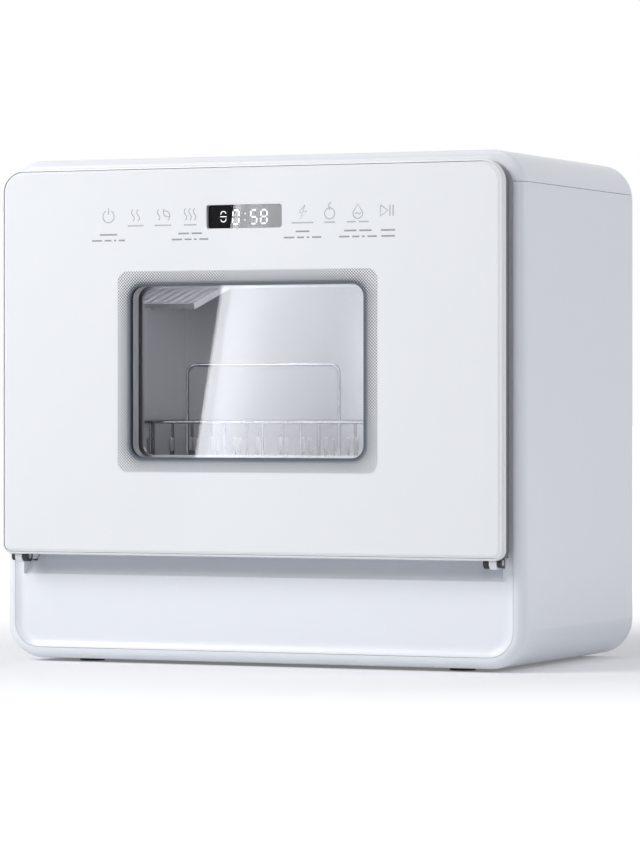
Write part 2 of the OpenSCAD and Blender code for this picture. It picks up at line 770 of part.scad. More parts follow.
module spray_hub() {
    color(soft_grey) difference() {
        union() {
            rod_z(hub_x, hub_depth, heater_top + 2, tub_floor, hub_r);
            rod_z(hub_x, hub_depth, tub_floor, tub_floor + 3, 17);
            rod_z(hub_x, hub_depth, tub_floor + 1, arm_z - lap, 12);
            rod_z(hub_x, hub_depth, arm_z - 1, arm_z + 12, post_r);
            rod_z(hub_x, hub_depth, arm_z + 9 + lap, arm_z + 14, 11.5);
        }
        rod_z(hub_x, hub_depth, heater_top, arm_z + 7, 5.5);
    }
}

blade_w = 26;
tip_w = 15;
nozzle_r = 1.3;

// Outline of the spray arm: two tapered blades with round tips, on a round boss.
module arm_outline() {
    circle(20);
    for (turn = [0, 180]) rotate(turn) {
        polygon([[0, -blade_w / 2], [arm_reach - tip_w / 2, -tip_w / 2], [arm_reach - tip_w / 2, tip_w / 2], [0, blade_w / 2]]);
        translate([arm_reach - tip_w / 2, 0]) circle(tip_w / 2);
    }
}

module spray_arm() {
    color(soft_grey) translate([hub_x, at(hub_depth), arm_z]) difference() {
        union() {
            linear_extrude(6) arm_outline();
            linear_extrude(8) intersection() { arm_outline(); square([2 * arm_reach, tip_w - 4], center = true); }
            cylinder(r = 15, h = 9);
        }
        translate([0, 0, -1]) cylinder(r = post_r + 0.06, h = 12);
        for (s = [-1, 1], i = [0 : 3]) translate([s * (30 + i * 15), s * (i % 2 == 0 ? 3 : -3), 3])
            cylinder(r = nozzle_r, h = 8);
    }
}

// Two straight lengths: pump to sump, and tank to tub
module short_hoses() {
    color(black) {
        rod_x(hub_x + 40, filter_x - sump_r - 4, hub_depth, sump_low + 14, 10);
        rod_x(tank_x[1], tub_left - 0.1, tank_port_depth, tank_port_z, 6.6);
    }
}

drain_pump_d = [176, 204];
drain_turn = 196;                        // depth at which the drain hose turns to the back
pump_out_x = filter_x + 22;

module drain_pump() {
    color(dark_grey) union() {
        rod_y(filter_x, drain_pump_d[0], drain_pump_d[1], sump_low + 10 - 14, 19);
        block(filter_x - 16, filter_x + 16, drain_pump_d[0] + 4, drain_pump_d[1] - 2, tray_top, sump_low);
        rod_y(filter_x, hub_depth + sump_r + 4, drain_pump_d[0] + 4, sump_low + 10, 8);
        block(filter_x - 8, filter_x + 8, drain_pump_d[0], drain_pump_d[0] + 8, sump_low - 4, sump_low + 16);
        rod_x(filter_x, pump_out_x, drain_turn, port_z, 6.5);
    }
}

module drain_hose() {
    color(black) union() {
        rod_x(pump_out_x, drain_x, drain_turn, port_z, 6);
        translate([drain_x, at(drain_turn), port_z]) sphere(6);
        rod_y(drain_x, drain_turn, panel_back - bay_depth - 12, port_z, 6);
    }
}

module drain_spigot() {
    d0 = panel_back - bay_depth - 12;
    color(dark_grey) difference() {
        union() {
            rod_y(drain_x, d0, casing_d - 4, port_z, drain_r);
            rod_y(drain_x, d0, panel_back - bay_depth - panel_t - lap, port_z, drain_r + 6);
            for (d = [casing_d - 10, casing_d - 18])
                translate([drain_x, at(d), port_z]) rotate([-90, 0, 0])
                    rotate_extrude() polygon([[0, 0], [drain_r + 0.9, 0], [drain_r - 0.1, 4], [0, 4]]);
        }
        rod_y(drain_x, d0 + 4, casing_d, port_z, drain_r - 3);
    }
}

thread_len = 12;

module inlet_valve() {
    d0 = panel_back - bay_depth - panel_t - lap;
    end = casing_d - 6;
    color(dark_grey) difference() {
        union() {
            rod_y(inlet_x, d0 - 26, d0, port_z, 17);
            rod_y(inlet_x, d0 - 1, end, port_z, inlet_r);
            block(inlet_x - 14, inlet_x + 14, d0 - 26, d0 - 6, port_z + 8, port_z + 34);
            rod_x(inlet_x - 34, inlet_x, d0 - 14, port_z, 6);
        }
        rod_y(inlet_x, d0 + 4, end + 1, port_z, inlet_r - 3.4);
        // grooves of the thread's run-out
        translate([inlet_x, at(end - thread_len - 1.5), port_z]) rotate([-90, 0, 0]) rotate_extrude()
            translate([inlet_r - 1, 0]) square([3, 1.5]);
    }
}

fill_depth = panel_back - bay_depth - panel_t - lap - 14;
tank_x = [-side + wall + 0.6, tub_left - sheet - 1];
tank_d = [42, tub_back - 3];
tank_z = [106, body_h - 47];
tank_wall = 2.2;
riser_x = 46 - side;
riser_depth = fill_depth - 9.7;

module fill_hose() {
    color(black) union() {
        rod_x(riser_x, inlet_x - 34, fill_depth, port_z, 6);
        translate([riser_x, at(fill_depth), port_z]) sphere(6);
        rod_z(riser_x, fill_depth, port_z, 88, 6);
        translate([riser_x, at(fill_depth), 88]) sphere(6);
        rod_y(riser_x, riser_depth, fill_depth, 88, 6);
        translate([riser_x, at(riser_depth), 88]) sphere(6);
        rod_z(riser_x, riser_depth, 88, tank_z[0] - lap, 6);
    }
}

// Tank body with rounded upright corners, shrunk inwards by one wall for its hollow
module tank_body(shrink) {
    r = 12;
    x0 = tank_x[0] + shrink;
    x1 = tank_x[1] - shrink;
    d0 = tank_d[0] + shrink;
    d1 = tank_d[1] - shrink;
    translate([0, front_y, tank_z[0] + shrink]) linear_extrude(tank_z[1] - tank_z[0] - 2 * shrink) {
        translate([x0 + r, d0]) square([x1 - x0 - 2 * r, d1 - d0]);
        translate([x0, d0 + r]) square([x1 - x0, d1 - d0 - 2 * r]);
        for (x = [x0 + r, x1 - r], d = [d0 + r, d1 - r]) translate([x, d]) circle(r);
    }
}

module water_tank() {
    color([0.86, 0.9, 0.93]) difference() {
        union() {
            tank_body(0);
            rod_z(lid_x, lid_depth, tank_z[1] - 1, body_h - well_d - wall - 0.5, neck_r + 1.5);
            rod_z(lid_x, lid_depth, tank_z[1] - 1, body_h - well_d - 0.2, neck_r);
        }
        tank_body(tank_wall);
        rod_z(lid_x, lid_depth, tank_z[1] - 5, body_h, neck_r - 2.4);
    }
}

// ---------------------------------------------------------------- drying blower

blower_r = 44;
blower_x = hub_x + 102;
blower_z = [tub_top + sheet, body_h - wall - 8];
impeller_r = 33;
motor_r = 12;

module blower_housing() {
    color(dark_grey) difference() {
        union() {
            rod_z(blower_x, hub_depth, blower_z[0], blower_z[1], blower_r);
            block(duct_x - duct_r - 3, blower_x, hub_depth - duct_r - 3, hub_depth + duct_r + 3, blower_z[0], blower_z[1] - 6);
        }
        rod_z(blower_x, hub_depth, blower_z[0] + 2, blower_z[1] - 2, blower_r - 2);
        block(duct_x - duct_r, blower_x, hub_depth - duct_r, hub_depth + duct_r, blower_z[0] + 2, blower_z[1] - 8);
        rod_z(duct_x, hub_depth, blower_z[0] - 1, blower_z[0] + 3, duct_r);
        // air inlet in the top
        rod_z(blower_x, hub_depth, blower_z[1] - 3, blower_z[1] + 1, 26);
    }
}

module blower_motor() {
    color(steel) union() {
        rod_z(blower_x, hub_depth, blower_z[0] + 2, blower_z[0] + 9, motor_r);
        rod_z(blower_x, hub_depth, blower_z[0] + 8, blower_z[0] + 20, 2);
    }
}

module blower_impeller() {
    low = blower_z[0] + 9 + lap;
    color(black) translate([blower_x, at(hub_depth), low]) difference() {
        union() {
            cylinder(r = impeller_r, h = 1.6);
            cylinder(r = 7, h = 9);
            for (i = [0 : 23]) rotate([0, 0, i * 15]) translate([impeller_r - 9, -0.6, 0]) rotate([0, 0, 20])
                cube([8, 1.2, 12]);
            translate([0, 0, 10.5]) difference() { cylinder(r = impeller_r, h = 1.5); translate([0, 0, -1]) cylinder(r = impeller_r - 6, h = 4); }
        }
        translate([0, 0, -1]) cylinder(r = 2 + pin_gap, h = 14);
    }
}

// ---------------------------------------------------------------- electrics in the base

board_x = 54 - side;                     // left end of the power board
board_d = 60;
board_low = tray_top + 4;
board_top = board_low + 1.6;

module power_board() {
    color(green) translate([board_x, at(board_d), 0]) {
        translate([0, 0, board_low]) cube([92, 100, 1.6]);
        for (x = [6, 86], y = [6, 94]) translate([x, y, tray_top]) cylinder(r = 3, h = board_low - tray_top + 0.5);
        translate([8, 10, board_top - 0.5]) cube([30, 26, 19]);
        translate([48, 10, board_top - 0.5]) cube([28, 22, 15]);
        for (i = [0 : 3]) translate([16 + i * 18, 68, board_top - 0.5]) cylinder(r = 6.5, h = 17);
        translate([14, 84, board_top - 0.5]) cube([60, 8, 9]);
    }
}

float_x = hub_x - 74;
float_d = 190;
float_r = 15;

// Float that trips a switch when water stands in the tray
module float_switch() {
    color(soft_grey) union() {
        rod_z(float_x, float_d, tray_top, tray_top + 8, float_r);
        rod_z(float_x, float_d, tray_top + 7, tray_top + 22, 5);
        block(float_x - 14, float_x + 14, float_d - 6, float_d + 6, tray_top + 20, tray_top + 30);
    }
}

module cord_gland() {
    color(black) difference() {
        union() {
            rod_y(gland_x, panel_back - panel_t - 10, casing_d - 0.5, gland_z, gland_r);
            rod_y(gland_x, panel_back, casing_d - 0.5, gland_z, gland_r + 3.5);
        }
        rod_y(gland_x, panel_back - panel_t - 11, casing_d, gland_z, 4.2);
    }
}

// ---------------------------------------------------------------- door

door_x = door_w / 2;
glass_inset = rim_w + glass_gap;
trim_back = -door_proud + trim_t;
core_inset = 1.9;
core_wall = 2.5;
web_t = 2;
liner_back = -door_gap;
liner_front = liner_back - 3.8;
window_x = window_w / 2;
tunnel_wall = 2.2;
tunnel_back = -9.4;

module door_outline(inset) {
    rounded(-door_x + inset, door_x - inset, door_bottom + inset, door_top - inset,
            door_bottom_r - inset, door_top_r - inset);
}
module window_outline(grow) {
    rounded(-window_x - grow, window_x + grow, window_bottom - grow, window_top + grow, window_r + grow, window_r + grow);
}
module display_outline(grow) {
    rounded(display_left - grow, display_left + display_w + grow, display_bottom - grow,
            display_bottom + display_h + grow, 2.5, 2.5);
}

trim_shelf = 8;

module trim_profile() {
    translate([-rim_w, -door_proud]) intersection() {
        translate([0, rim_w]) circle(rim_w);
        square(rim_w);
    }
    translate([-rim_w, -door_proud + rim_w]) square([rim_w, trim_t - rim_w]);
    translate([-trim_shelf, -door_proud + glass_t + 0.1]) square([trim_shelf, trim_t - glass_t - 0.1]);
}

module door_trim() {
    color(white) union() {
        around(-door_x, door_x, door_bottom, door_top, door_bottom_r, door_top_r) trim_profile();
        slab(-door_proud + glass_t + 0.1, trim_back) difference() {
            intersection() { door_outline(trim_shelf - 1); window_surround(); }
            window_outline(tunnel_wall + 0.3);
        }
    }
}

// Bars of the trim that back the glass beside the window
module window_surround() {
    window_outline(11);
    translate([-door_x, window_bottom + 60]) square([door_w, 12]);
    translate([-6, 0]) square([12, window_bottom]);
}

module door_glass() {
    color(clear) difference() {
        slab(-door_proud, -door_proud + glass_t) door_outline(glass_inset);
        around(-door_x + glass_inset, door_x - glass_inset, door_bottom + glass_inset, door_top - glass_inset,
               door_bottom_r - glass_inset, door_top_r - glass_inset)
            polygon([[-2 * glass_bevel, -door_proud - eps], [1, -door_proud - eps], [1, -door_proud + glass_bevel + 0.5],
                     [0, -door_proud + glass_bevel]]);
    }
}

// Cuts for the two hinge clevises, up to a given height
module clevis_sockets(top) {
    fit = 0.4;
    for (s = [-1, 1]) translate([s * hinge_x, 0, 0]) mirror([s > 0 ? 1 : 0, 0, 0])
        block(-clevis_half - cheek_out - fit, clevis_half + cheek_in + fit, clevis_d[0] - fit, 0, door_bottom - 1, top);
}
// Cut for the base of the latch hook
module latch_pocket() {
    block(-hook_base_w / 2 - lap, hook_base_w / 2 + lap, hook_base_d - lap, 0, latch_z - 7 - lap, latch_z + 5 + lap);
}

module door_core() {
    color(dark_grey) difference() {
        union() {
            slab(trim_back + eps, liner_front - eps) difference() {
                door_outline(core_inset);
                door_outline(core_inset + core_wall);
            }
            slab(trim_back + eps, trim_back + web_t) door_outline(core_inset);
            // walls round the window and stiffening ribs
            slab(trim_back + eps, liner_front - eps) difference() {
                window_outline(tunnel_wall + 0.3 + 10);
                window_outline(tunnel_wall + 0.3 + 8);
            }
            for (x = [-170, 170]) slab(trim_back + eps, liner_front - eps)
                translate([x - 1, door_bottom + 3]) square([2, door_top - door_bottom - 6]);
            for (s = [-1, 1], z = liner_screw_zs)
                rod_y(s * liner_screw_x, trim_back + eps, liner_front - eps, z, 4);
            // sockets that the clevises seat in
            for (s = [-1, 1]) block(s > 0 ? hinge_x - 14 : -hinge_x - 9.7, s > 0 ? hinge_x + 9.7 : -hinge_x + 14,
                                    trim_back + eps, liner_front - eps, door_bottom + 2.2, clevis_high_z + 4);
        }
        slab(trim_back - 1, 0) window_outline(tunnel_wall + 0.3);
        slab(trim_back - 1, trim_back + web_t + 1) display_outline(0.4);
        clevis_sockets(clevis_high_z + lap);
        latch_pocket();
        for (s = [-1, 1], z = liner_screw_zs)
            rod_y(s * liner_screw_x, liner_front - 6, 0, z, screw_r + pin_gap);
    }
}

module window_frame() {
    color(soft_grey) difference() {
        slab(-door_proud + glass_t + 0.1, tunnel_back) window_outline(tunnel_wall);
        slab(-door_proud, 0) window_outline(0);
    }
}

module inner_pane() {
    color(clear) slab(tunnel_back + lap, tunnel_back + lap + pane_t) window_outline(tunnel_wall + 5);
}

module pane_gasket() {
    color(dark_grey) slab(tunnel_back + lap, tunnel_back + lap + pane_t) difference() {
        window_outline(tunnel_wall + 7.6);
        window_outline(tunnel_wall + 5.2);
    }
}

liner_low = clevis_low_z + 0.2;

module inner_liner() {
    color(steel) difference() {
        union() {
            slab(liner_front, liner_front + 1.6)
                rounded(-door_x + 4.6, door_x - 4.6, liner_low, door_top - 4.6, 8, door_top_r - 4);
            // pressed frame that meets the seal
            slab(liner_front, liner_back) difference() {
                rounded(tub_left - 12, tub_right + 12, liner_low, tub_top + 12, 6, tub_r + 12);
                rounded(tub_left + 6, tub_right - 6, liner_low + 16, tub_top - 6, tub_r, tub_r);
            }
            slab(liner_front, liner_back - 0.6) difference() {
                window_outline(8);
                window_outline(-2);
            }
        }
        slab(liner_front - 1, 0) window_outline(-2);
        clevis_sockets(clevis_low_z + 1);
        latch_pocket();
        for (s = [-1, 1], z = liner_screw_zs) rod_y(s * liner_screw_x, -12, 0, z, screw_r + 0.1);
    }
}

liner_screw_x = door_x - 12;
liner_screw_zs = [150, (body_h + 85) / 2, body_h - 65];

module liner_screws() {
    color(steel) for (s = [-1, 1], z = liner_screw_zs) {
        rod_y(s * liner_screw_x, liner_front - 4, liner_front + 2, z, screw_r);
        difference() {
            rod_y(s * liner_screw_x, liner_front + 1.6, liner_front + 3.2, z, 2.8);
            translate([s * liner_screw_x - 2, at(liner_front + 2.6), z - 0.4]) cube([4, 2, 0.8]);
        }
    }
}

module display_module() {
    color(black) slab(-door_proud + glass_t + lap, trim_back + web_t + lap) display_outline(0);
}

touch_w = 284;
touch_t = 1.6;
chip_t = 2.4;
pads = [-130, -104.4, -78.8, -53.2, 51.4, 76.5, 101.6, 127.9];   // one under each symbol on the glass

module touch_board() {
    d0 = trim_back + web_t + lap + eps;
    low = display_bottom - 6;
    color(green) {
        slab(d0, d0 + touch_t) rounded(-touch_w / 2, touch_w / 2, low, low + 32, 2, 2);
        slab(d0 + touch_t - eps, d0 + touch_t + chip_t) {
            translate([-60, low + 6]) square([12, 12]);
            translate([70, low + 8]) square([22, 8]);
        }
        for (x = pads) slab(d0 + touch_t - eps, d0 + touch_t + 0.8) translate([x - 4, low + 14]) square(8);
    }
}

// ---------------------------------------------------------------- basket

basket_mid = (tub_left + tub_right) / 2;
bx = [basket_mid - basket_w / 2 + wire_r, basket_mid + basket_w / 2 - wire_r];
bd = [basket_front, basket_front + basket_d];
basket_r = 10;
weld = 0.35;
step = 2 * wire_r - weld;

touch = 2 * wire_r + 0.05;               // wires of different pieces just touch
ring = touch - step;                     // how much wider the floor's loop is than the rim

// Quarter bend of level wire about a corner of the basket
module wire_bend(x, d, z, turn) {
    translate([x, at(d), z]) rotate([0, 0, turn]) rotate_extrude(angle = 90)
        translate([basket_r, 0]) circle(wire_r);
}

module hoop() {
    for (s = [-1, 1]) {
        rod_z(s * hoop_w / 2, bd[0] + step, wire_low, hoop_top - hoop_r, wire_r);
        translate([s * (hoop_w / 2 - hoop_r), at(bd[0] + step), hoop_top - hoop_r]) rotate([90, 0, 0])
            rotate([0, 0, s > 0 ? 0 : 90]) rotate_extrude(angle = 90) translate([hoop_r, 0]) circle(wire_r);
    }
    rod_x(-hoop_w / 2 + hoop_r, hoop_w / 2 - hoop_r, bd[0] + step, hoop_top, wire_r);
}

hoop_r = 8;
front_wires = [-4, -3, -1, 0, 1, 3, 4];
back_wires = [-4 : 4];
side_count = 5;
floor_pitch = front_pitch / 2;
floor_wires = [-7.5 : 8.5];
wire_low = basket_floor - 0.6;           // upright wires end just past the level ones
wire_high = basket_rail + 0.6;

module basket_front_panel() {
    color(steel) union() {
        rod_x(bx[0] + basket_r, bx[1] - basket_r, bd[0], basket_rail, wire_r);
        for (i = front_wires) rod_z(i * front_pitch, bd[0] + step, wire_low, wire_high, wire_r);
        hoop();
    }
}

module basket_side_panels() {
    color(steel) {
        union() {
            rod_x(bx[0] + basket_r, bx[1] - basket_r, bd[1], basket_rail, wire_r);
            for (i = back_wires) rod_z(i * front_pitch, bd[1] - step, wire_low, wire_high, wire_r);
        }
        for (s = [-1, 1]) union() {
            x = s < 0 ? bx[0] : bx[1];
            rod_y(x, bd[0] + basket_r, bd[1] - basket_r, basket_rail, wire_r);
            for (i = [0 : side_count - 1])
                rod_z(x - s * step, bd[0] + 22 + i * (basket_d - 44) / (side_count - 1), wire_low, wire_high, wire_r);
            for (e = [-1, 1]) intersection() {
                wire_bend(x - s * basket_r, e < 0 ? bd[0] + basket_r : bd[1] - basket_r, basket_rail,
                          s < 0 ? (e < 0 ? 180 : 90) : (e < 0 ? 270 : 0));
                // ends just short of the front's and the back's own wire
                block(s < 0 ? x - 5 : x - basket_r + 0.05, s < 0 ? x + basket_r - 0.05 : x + 5,
                      bd[0] - 5, bd[1] + 5, 0, body_h);
            }
        }
    }
}

module basket_floor_grid() {
    x0 = bx[0] - ring;
    x1 = bx[1] + ring;
    d0 = bd[0] - ring;
    d1 = bd[1] + ring;
    z = basket_floor;
    color(steel) union() {
        for (d = [d0, d1]) rod_x(x0 + basket_r, x1 - basket_r, d, z, wire_r);
        for (x = [x0, x1]) rod_y(x, d0 + basket_r, d1 - basket_r, z, wire_r);
        wire_bend(x1 - basket_r, d1 - basket_r, z, 0);
        wire_bend(x0 + basket_r, d1 - basket_r, z, 90);
        wire_bend(x0 + basket_r, d0 + basket_r, z, 180);
        wire_bend(x1 - basket_r, d0 + basket_r, z, 270);
        for (i = floor_wires) rod_y(i * floor_pitch, d0 - 0.6, d1 + 0.6, z + step, wire_r);
        for (d = [bd[0] + 52, bd[1] - 52]) rod_x(x0 - 0.6, x1 + 0.6, d, z, wire_r);
    }
}
tine_h = 52;
tine_rows = [58, 142];
tine_left = basket_mid - basket_w / 2 + 24;

module tine_rack() {
    z = basket_floor + step + touch;
    color(steel) union() {
        for (d = tine_rows) {
            rod_x(tine_left - 6, tine_left + (tine_count - 1) * tine_pitch + 6, d, z, wire_r);
            for (i = [0 : tine_count - 1]) {
                rod_z(tine_left + i * tine_pitch, d + step - 1, z, z + tine_h, wire_r - 0.1);
                translate([tine_left + i * tine_pitch, at(d + step - 1), z + tine_h]) sphere(wire_r - 0.1);
            }
        }
        for (x = [tine_left - 6, tine_left + (tine_count - 1) * tine_pitch + 6])
            rod_y(x, tine_rows[0], tine_rows[1], z, wire_r);
    }
}

holder_x = [basket_mid + basket_w / 2 - 36, basket_mid + basket_w / 2 - 6];
holder_d = [basket_front + 18, basket_front + basket_d - 36];
holder_z = basket_floor + step + wire_r + 0.25;
holder_h = 58;
holder_wall = 1.8;
slot_w = 3.6;

module cutlery_holder() {
    h = holder_h;
    color(soft_grey) difference() {
        block(holder_x[0], holder_x[1], holder_d[0], holder_d[1], holder_z, holder_z + h);
        for (i = [0 : 2]) {
            cell = (holder_d[1] - holder_d[0] - holder_wall) / 3;
            block(holder_x[0] + holder_wall, holder_x[1] - holder_wall, holder_d[0] + holder_wall + i * cell,
                  holder_d[0] + (i + 1) * cell, holder_z + holder_wall, holder_z + h + 1);
        }
        // drain slots through the long sides and the floor, two for each cell
        for (i = [0 : 2], t = [0.3, 0.7]) {
            d = holder_d[0] + (i + t) * (holder_d[1] - holder_d[0]) / 3;
            block(holder_x[0] - 1, holder_x[1] + 1, d - slot_w / 2, d + slot_w / 2,
                  holder_z + 12, holder_z + holder_h - 14);
            block(holder_x[0] + 6, holder_x[1] - 6, d - slot_w / 2, d + slot_w / 2, holder_z - 1, holder_z + 3);
        }
    }
}

wire_gap = 0.1;                          // from a bracket to the wires that it hangs on
roller_z = rail_low + rail_t + lap + roller_r;
roller_t = 6;
roller_depths = [100, 190];
axle_r = 2;
roller_x0 = 4.6;                         // from the tub's wall to the roller

module roller_brackets() {
    // each bracket hangs on two side wires of the basket and holds one axle
    color(soft_grey) for (s = [-1, 1], d = roller_depths) {
        wall_x = s < 0 ? tub_left : tub_right;
        edge = s < 0 ? bx[0] - ring - wire_r - wire_gap : bx[1] + ring + wire_r + wire_gap;
        inner = edge + s * 2.4;
        union() {
            block(min(edge, inner), max(edge, inner), d - 10, d + 10, roller_z - 6, basket_floor + 12);
            rod_x(s < 0 ? wall_x + roller_x0 - 1 : edge, s < 0 ? edge : wall_x - roller_x0 + 1, d, roller_z, axle_r);
            rod_x(s < 0 ? wall_x + roller_x0 + roller_t + 0.3 : edge - 0.1, s < 0 ? edge + 0.1 : wall_x - roller_x0 - roller_t - 0.3,
                  d, roller_z, axle_r + 2);
        }
    }
}

module roller(s, d) {
    wall_x = s < 0 ? tub_left : tub_right;
    x0 = s < 0 ? wall_x + roller_x0 : wall_x - roller_x0 - roller_t;
    color(white) difference() {
        rod_x(x0, x0 + roller_t, d, roller_z, roller_r);
        rod_x(x0 - 1, x0 + roller_t + 1, d, roller_z, axle_r + pin_gap);
        for (i = [0 : 5]) translate([x0 - 1, at(d), roller_z]) rotate([i * 60, 0, 0]) translate([0, 5.6, 0])
            rotate([0, 90, 0]) cylinder(r = 1.4, h = roller_t + 2);
    }
}
module roller_front_left() { roller(-1, roller_depths[0]); }
module roller_front_right() { roller(1, roller_depths[0]); }
module roller_rear_left() { roller(-1, roller_depths[1]); }
module roller_rear_right() { roller(1, roller_depths[1]); }

side_shell();
top_cover();
front_bezel();
back_panel();
base_tray();
feet();
rear_screws();
tub_wrap();
tub_rear();
tub_base();
tub_seal();
rails();
cup_shelf();
hinge_brackets();
latch_receiver();
sump();
filter_plate();
filter_cup();
spray_hub();
spray_arm();
wash_pump();
heater_ring();
short_hoses();
drain_pump();
drain_hose();
drain_spigot();
inlet_valve();
fill_hose();
water_tank();
filler_lid();
filler_pin();
blower_housing();
blower_impeller();
blower_motor();
power_board();
float_switch();
cord_gland();
door_trim();
door_glass();
door_core();
window_frame();
inner_pane();
pane_gasket();
inner_liner();
liner_screws();
display_module();
touch_board();
latch_hook();
hinge_clevises();
hinge_pins();
basket_front_panel();
basket_side_panels();
basket_floor_grid();
tine_rack();
cutlery_holder();
roller_brackets();
roller_front_left();
roller_front_right();
roller_rear_left();
roller_rear_right();
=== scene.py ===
import math

import bmesh
import bpy
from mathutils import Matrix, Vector


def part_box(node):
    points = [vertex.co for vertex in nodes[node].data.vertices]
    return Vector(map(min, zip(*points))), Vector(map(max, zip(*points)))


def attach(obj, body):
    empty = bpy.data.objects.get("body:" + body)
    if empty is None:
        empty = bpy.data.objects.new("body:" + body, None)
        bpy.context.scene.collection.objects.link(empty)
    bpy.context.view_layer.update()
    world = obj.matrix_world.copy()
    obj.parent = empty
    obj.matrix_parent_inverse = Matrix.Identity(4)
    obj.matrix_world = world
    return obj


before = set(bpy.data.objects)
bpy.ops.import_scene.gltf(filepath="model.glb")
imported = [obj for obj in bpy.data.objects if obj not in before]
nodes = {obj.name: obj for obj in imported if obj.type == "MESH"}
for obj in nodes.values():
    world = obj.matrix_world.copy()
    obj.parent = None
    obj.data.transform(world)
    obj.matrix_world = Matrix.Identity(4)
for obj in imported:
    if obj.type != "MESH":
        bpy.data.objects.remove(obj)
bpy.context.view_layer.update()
print("frame loaded,", len(nodes), "nodes")


class Sock:  # one output socket that takes part in sums
    def __init__(self, paint, out):
        self.paint = paint
        self.out = out

    def maths(self, operation, *values):
        return self.paint.node("Math", {"operation": operation}, dict(enumerate(values)))

    def __add__(self, other):
        return self.maths("ADD", self, other)

    def __radd__(self, other):
        return self.maths("ADD", other, self)

    def __sub__(self, other):
        return self.maths("SUBTRACT", self, other)

    def __rsub__(self, other):
        return self.maths("SUBTRACT", other, self)

    def __mul__(self, other):
        return self.maths("MULTIPLY", self, other)

    def __rmul__(self, other):
        return self.maths("MULTIPLY", other, self)

    def __truediv__(self, other):
        return self.maths("DIVIDE", self, other)

    def __rtruediv__(self, other):
        return self.maths("DIVIDE", other, self)

    def __pow__(self, other):
        return self.maths("POWER", self, other)

    def __abs__(self):
        return self.maths("ABSOLUTE", self)

    def __lt__(self, other):
        return self.maths("LESS_THAN", self, other)

    def least(self, other):
        return self.maths("MINIMUM", self, other)

    def most(self, other):
        return self.maths("MAXIMUM", self, other)

    def root(self):
        return self.maths("SQRT", self)

    def fraction(self):
        return self.maths("FRACT", self)

    def ramp(self, low, high, a=0.0, b=1.0):  # straight run from a to b between low and high
        return self.paint.node("MapRange", {"clamp": True}, {0: self, 1: low, 2: high, 3: a, 4: b})

    def sibling(self, name):  # another output of the same node
        return Sock(self.paint, self.out.node.outputs[name])


class Paint:  # the nodes of one material, or of the world
    def __init__(self, owner, end="OutputMaterial"):
        owner.use_nodes = True
        self.owner = owner
        self.tree = owner.node_tree
        self.tree.nodes.clear()
        self.end = self.tree.nodes.new("ShaderNode" + end)

    def node(self, kind, settings=None, values=None, out=0):
        made = self.tree.nodes.new("ShaderNode" + kind)
        for key, value in (settings or {}).items():
            if key == "stops":
                self.setStops(made.color_ramp, value)
            else:
                setattr(made, key, value)
        for key, value in (values or {}).items():
            if isinstance(value, Sock):
                self.tree.links.new(value.out, made.inputs[key])
            else:
                made.inputs[key].default_value = value
        return Sock(self, made.outputs[out])

    def setStops(self, colourRamp, stops):
        while len(colourRamp.elements) < len(stops):
            colourRamp.elements.new(0.5)
        for element, (place, colour) in zip(colourRamp.elements, stops):
            element.position = place
            element.color = colour

    def place(self):  # where the point is on the object
        return self.node("TexCoord", out="Object")

    def axes(self, spot):  # X, Y and Z of that point
        x = self.node("SeparateXYZ", values={0: spot})
        return x, x.sibling("Y"), x.sibling("Z")

    def noise(self, spot, scale, detail=3.0, roughness=0.5, stretch=None):
        if stretch:
            spot = self.node("Mapping", values={"Vector": spot, "Scale": stretch})
        return self.node("TexNoise", values={"Vector": spot, "Scale": scale, "Detail": detail,
                                             "Roughness": roughness})

    def blend(self, share, first, second):  # mixes two colours
        def colour(value):
            return value if isinstance(value, Sock) else (*value, 1.0)
        return self.node("Mix", {"data_type": "RGBA"}, {0: share, 6: colour(first), 7: colour(second)}, out=2)

    def bump(self, height, strength, distance):
        return self.node("Bump", values={"Height": height, "Strength": strength, "Distance": distance})

    def surface(self, colour, **values):
        given = {"Base Color": colour if isinstance(colour, Sock) else (*colour, 1.0)}
        given.update({key.replace("_", " "): value for key, value in values.items()})
        return self.node("BsdfPrincipled", values=given)

    def studioRays(self):  # 1 for rays that see the pale studio: direct, through glass or mirrored
        ray = self.node("LightPath")
        direct = ray.sibling("Is Camera Ray")
        return direct.most(ray.sibling("Is Transmission Ray")).most(ray.sibling("Is Glossy Ray"))

    def finish(self, shader):
        self.tree.links.new(shader.out, self.end.inputs[0])
        return self.owner


def newPaint(name):
    return Paint(bpy.data.materials.new(name))


def toned(colour, share):  # the same colour, lighter or darker
    return [min(1.0, part * share) for part in colour]


def roundedDistance(x, z, x0, x1, z0, z1, radius):  # below 0 inside a rounded rectangle
    qx = abs(x - (x0 + x1) / 2) - ((x1 - x0) / 2 - radius)
    qz = abs(z - (z0 + z1) / 2) - ((z1 - z0) / 2 - radius)
    outside = (qx.most(0.0) ** 2 + qz.most(0.0) ** 2).root()
    return outside + qx.most(qz).least(0.0) - radius


def startFresh():  # nothing selected, nothing active
    if bpy.context.object and bpy.context.object.mode != "OBJECT":
        bpy.ops.object.mode_set(mode="OBJECT")
    bpy.ops.object.select_all(action="DESELECT")


def activate(piece):
    startFresh()
    piece.select_set(True)
    bpy.context.view_layer.objects.active = piece
    return piece


cameraView = {
    "eye": (1.508, -3.4155, 0.2226),
    "lookAlong": (-0.40302, 0.91519, 0.0),
    "lens": 180.0,
    "sensor": 36.0,
    "shiftY": -0.0252,
    "farthest": 60.0,
}


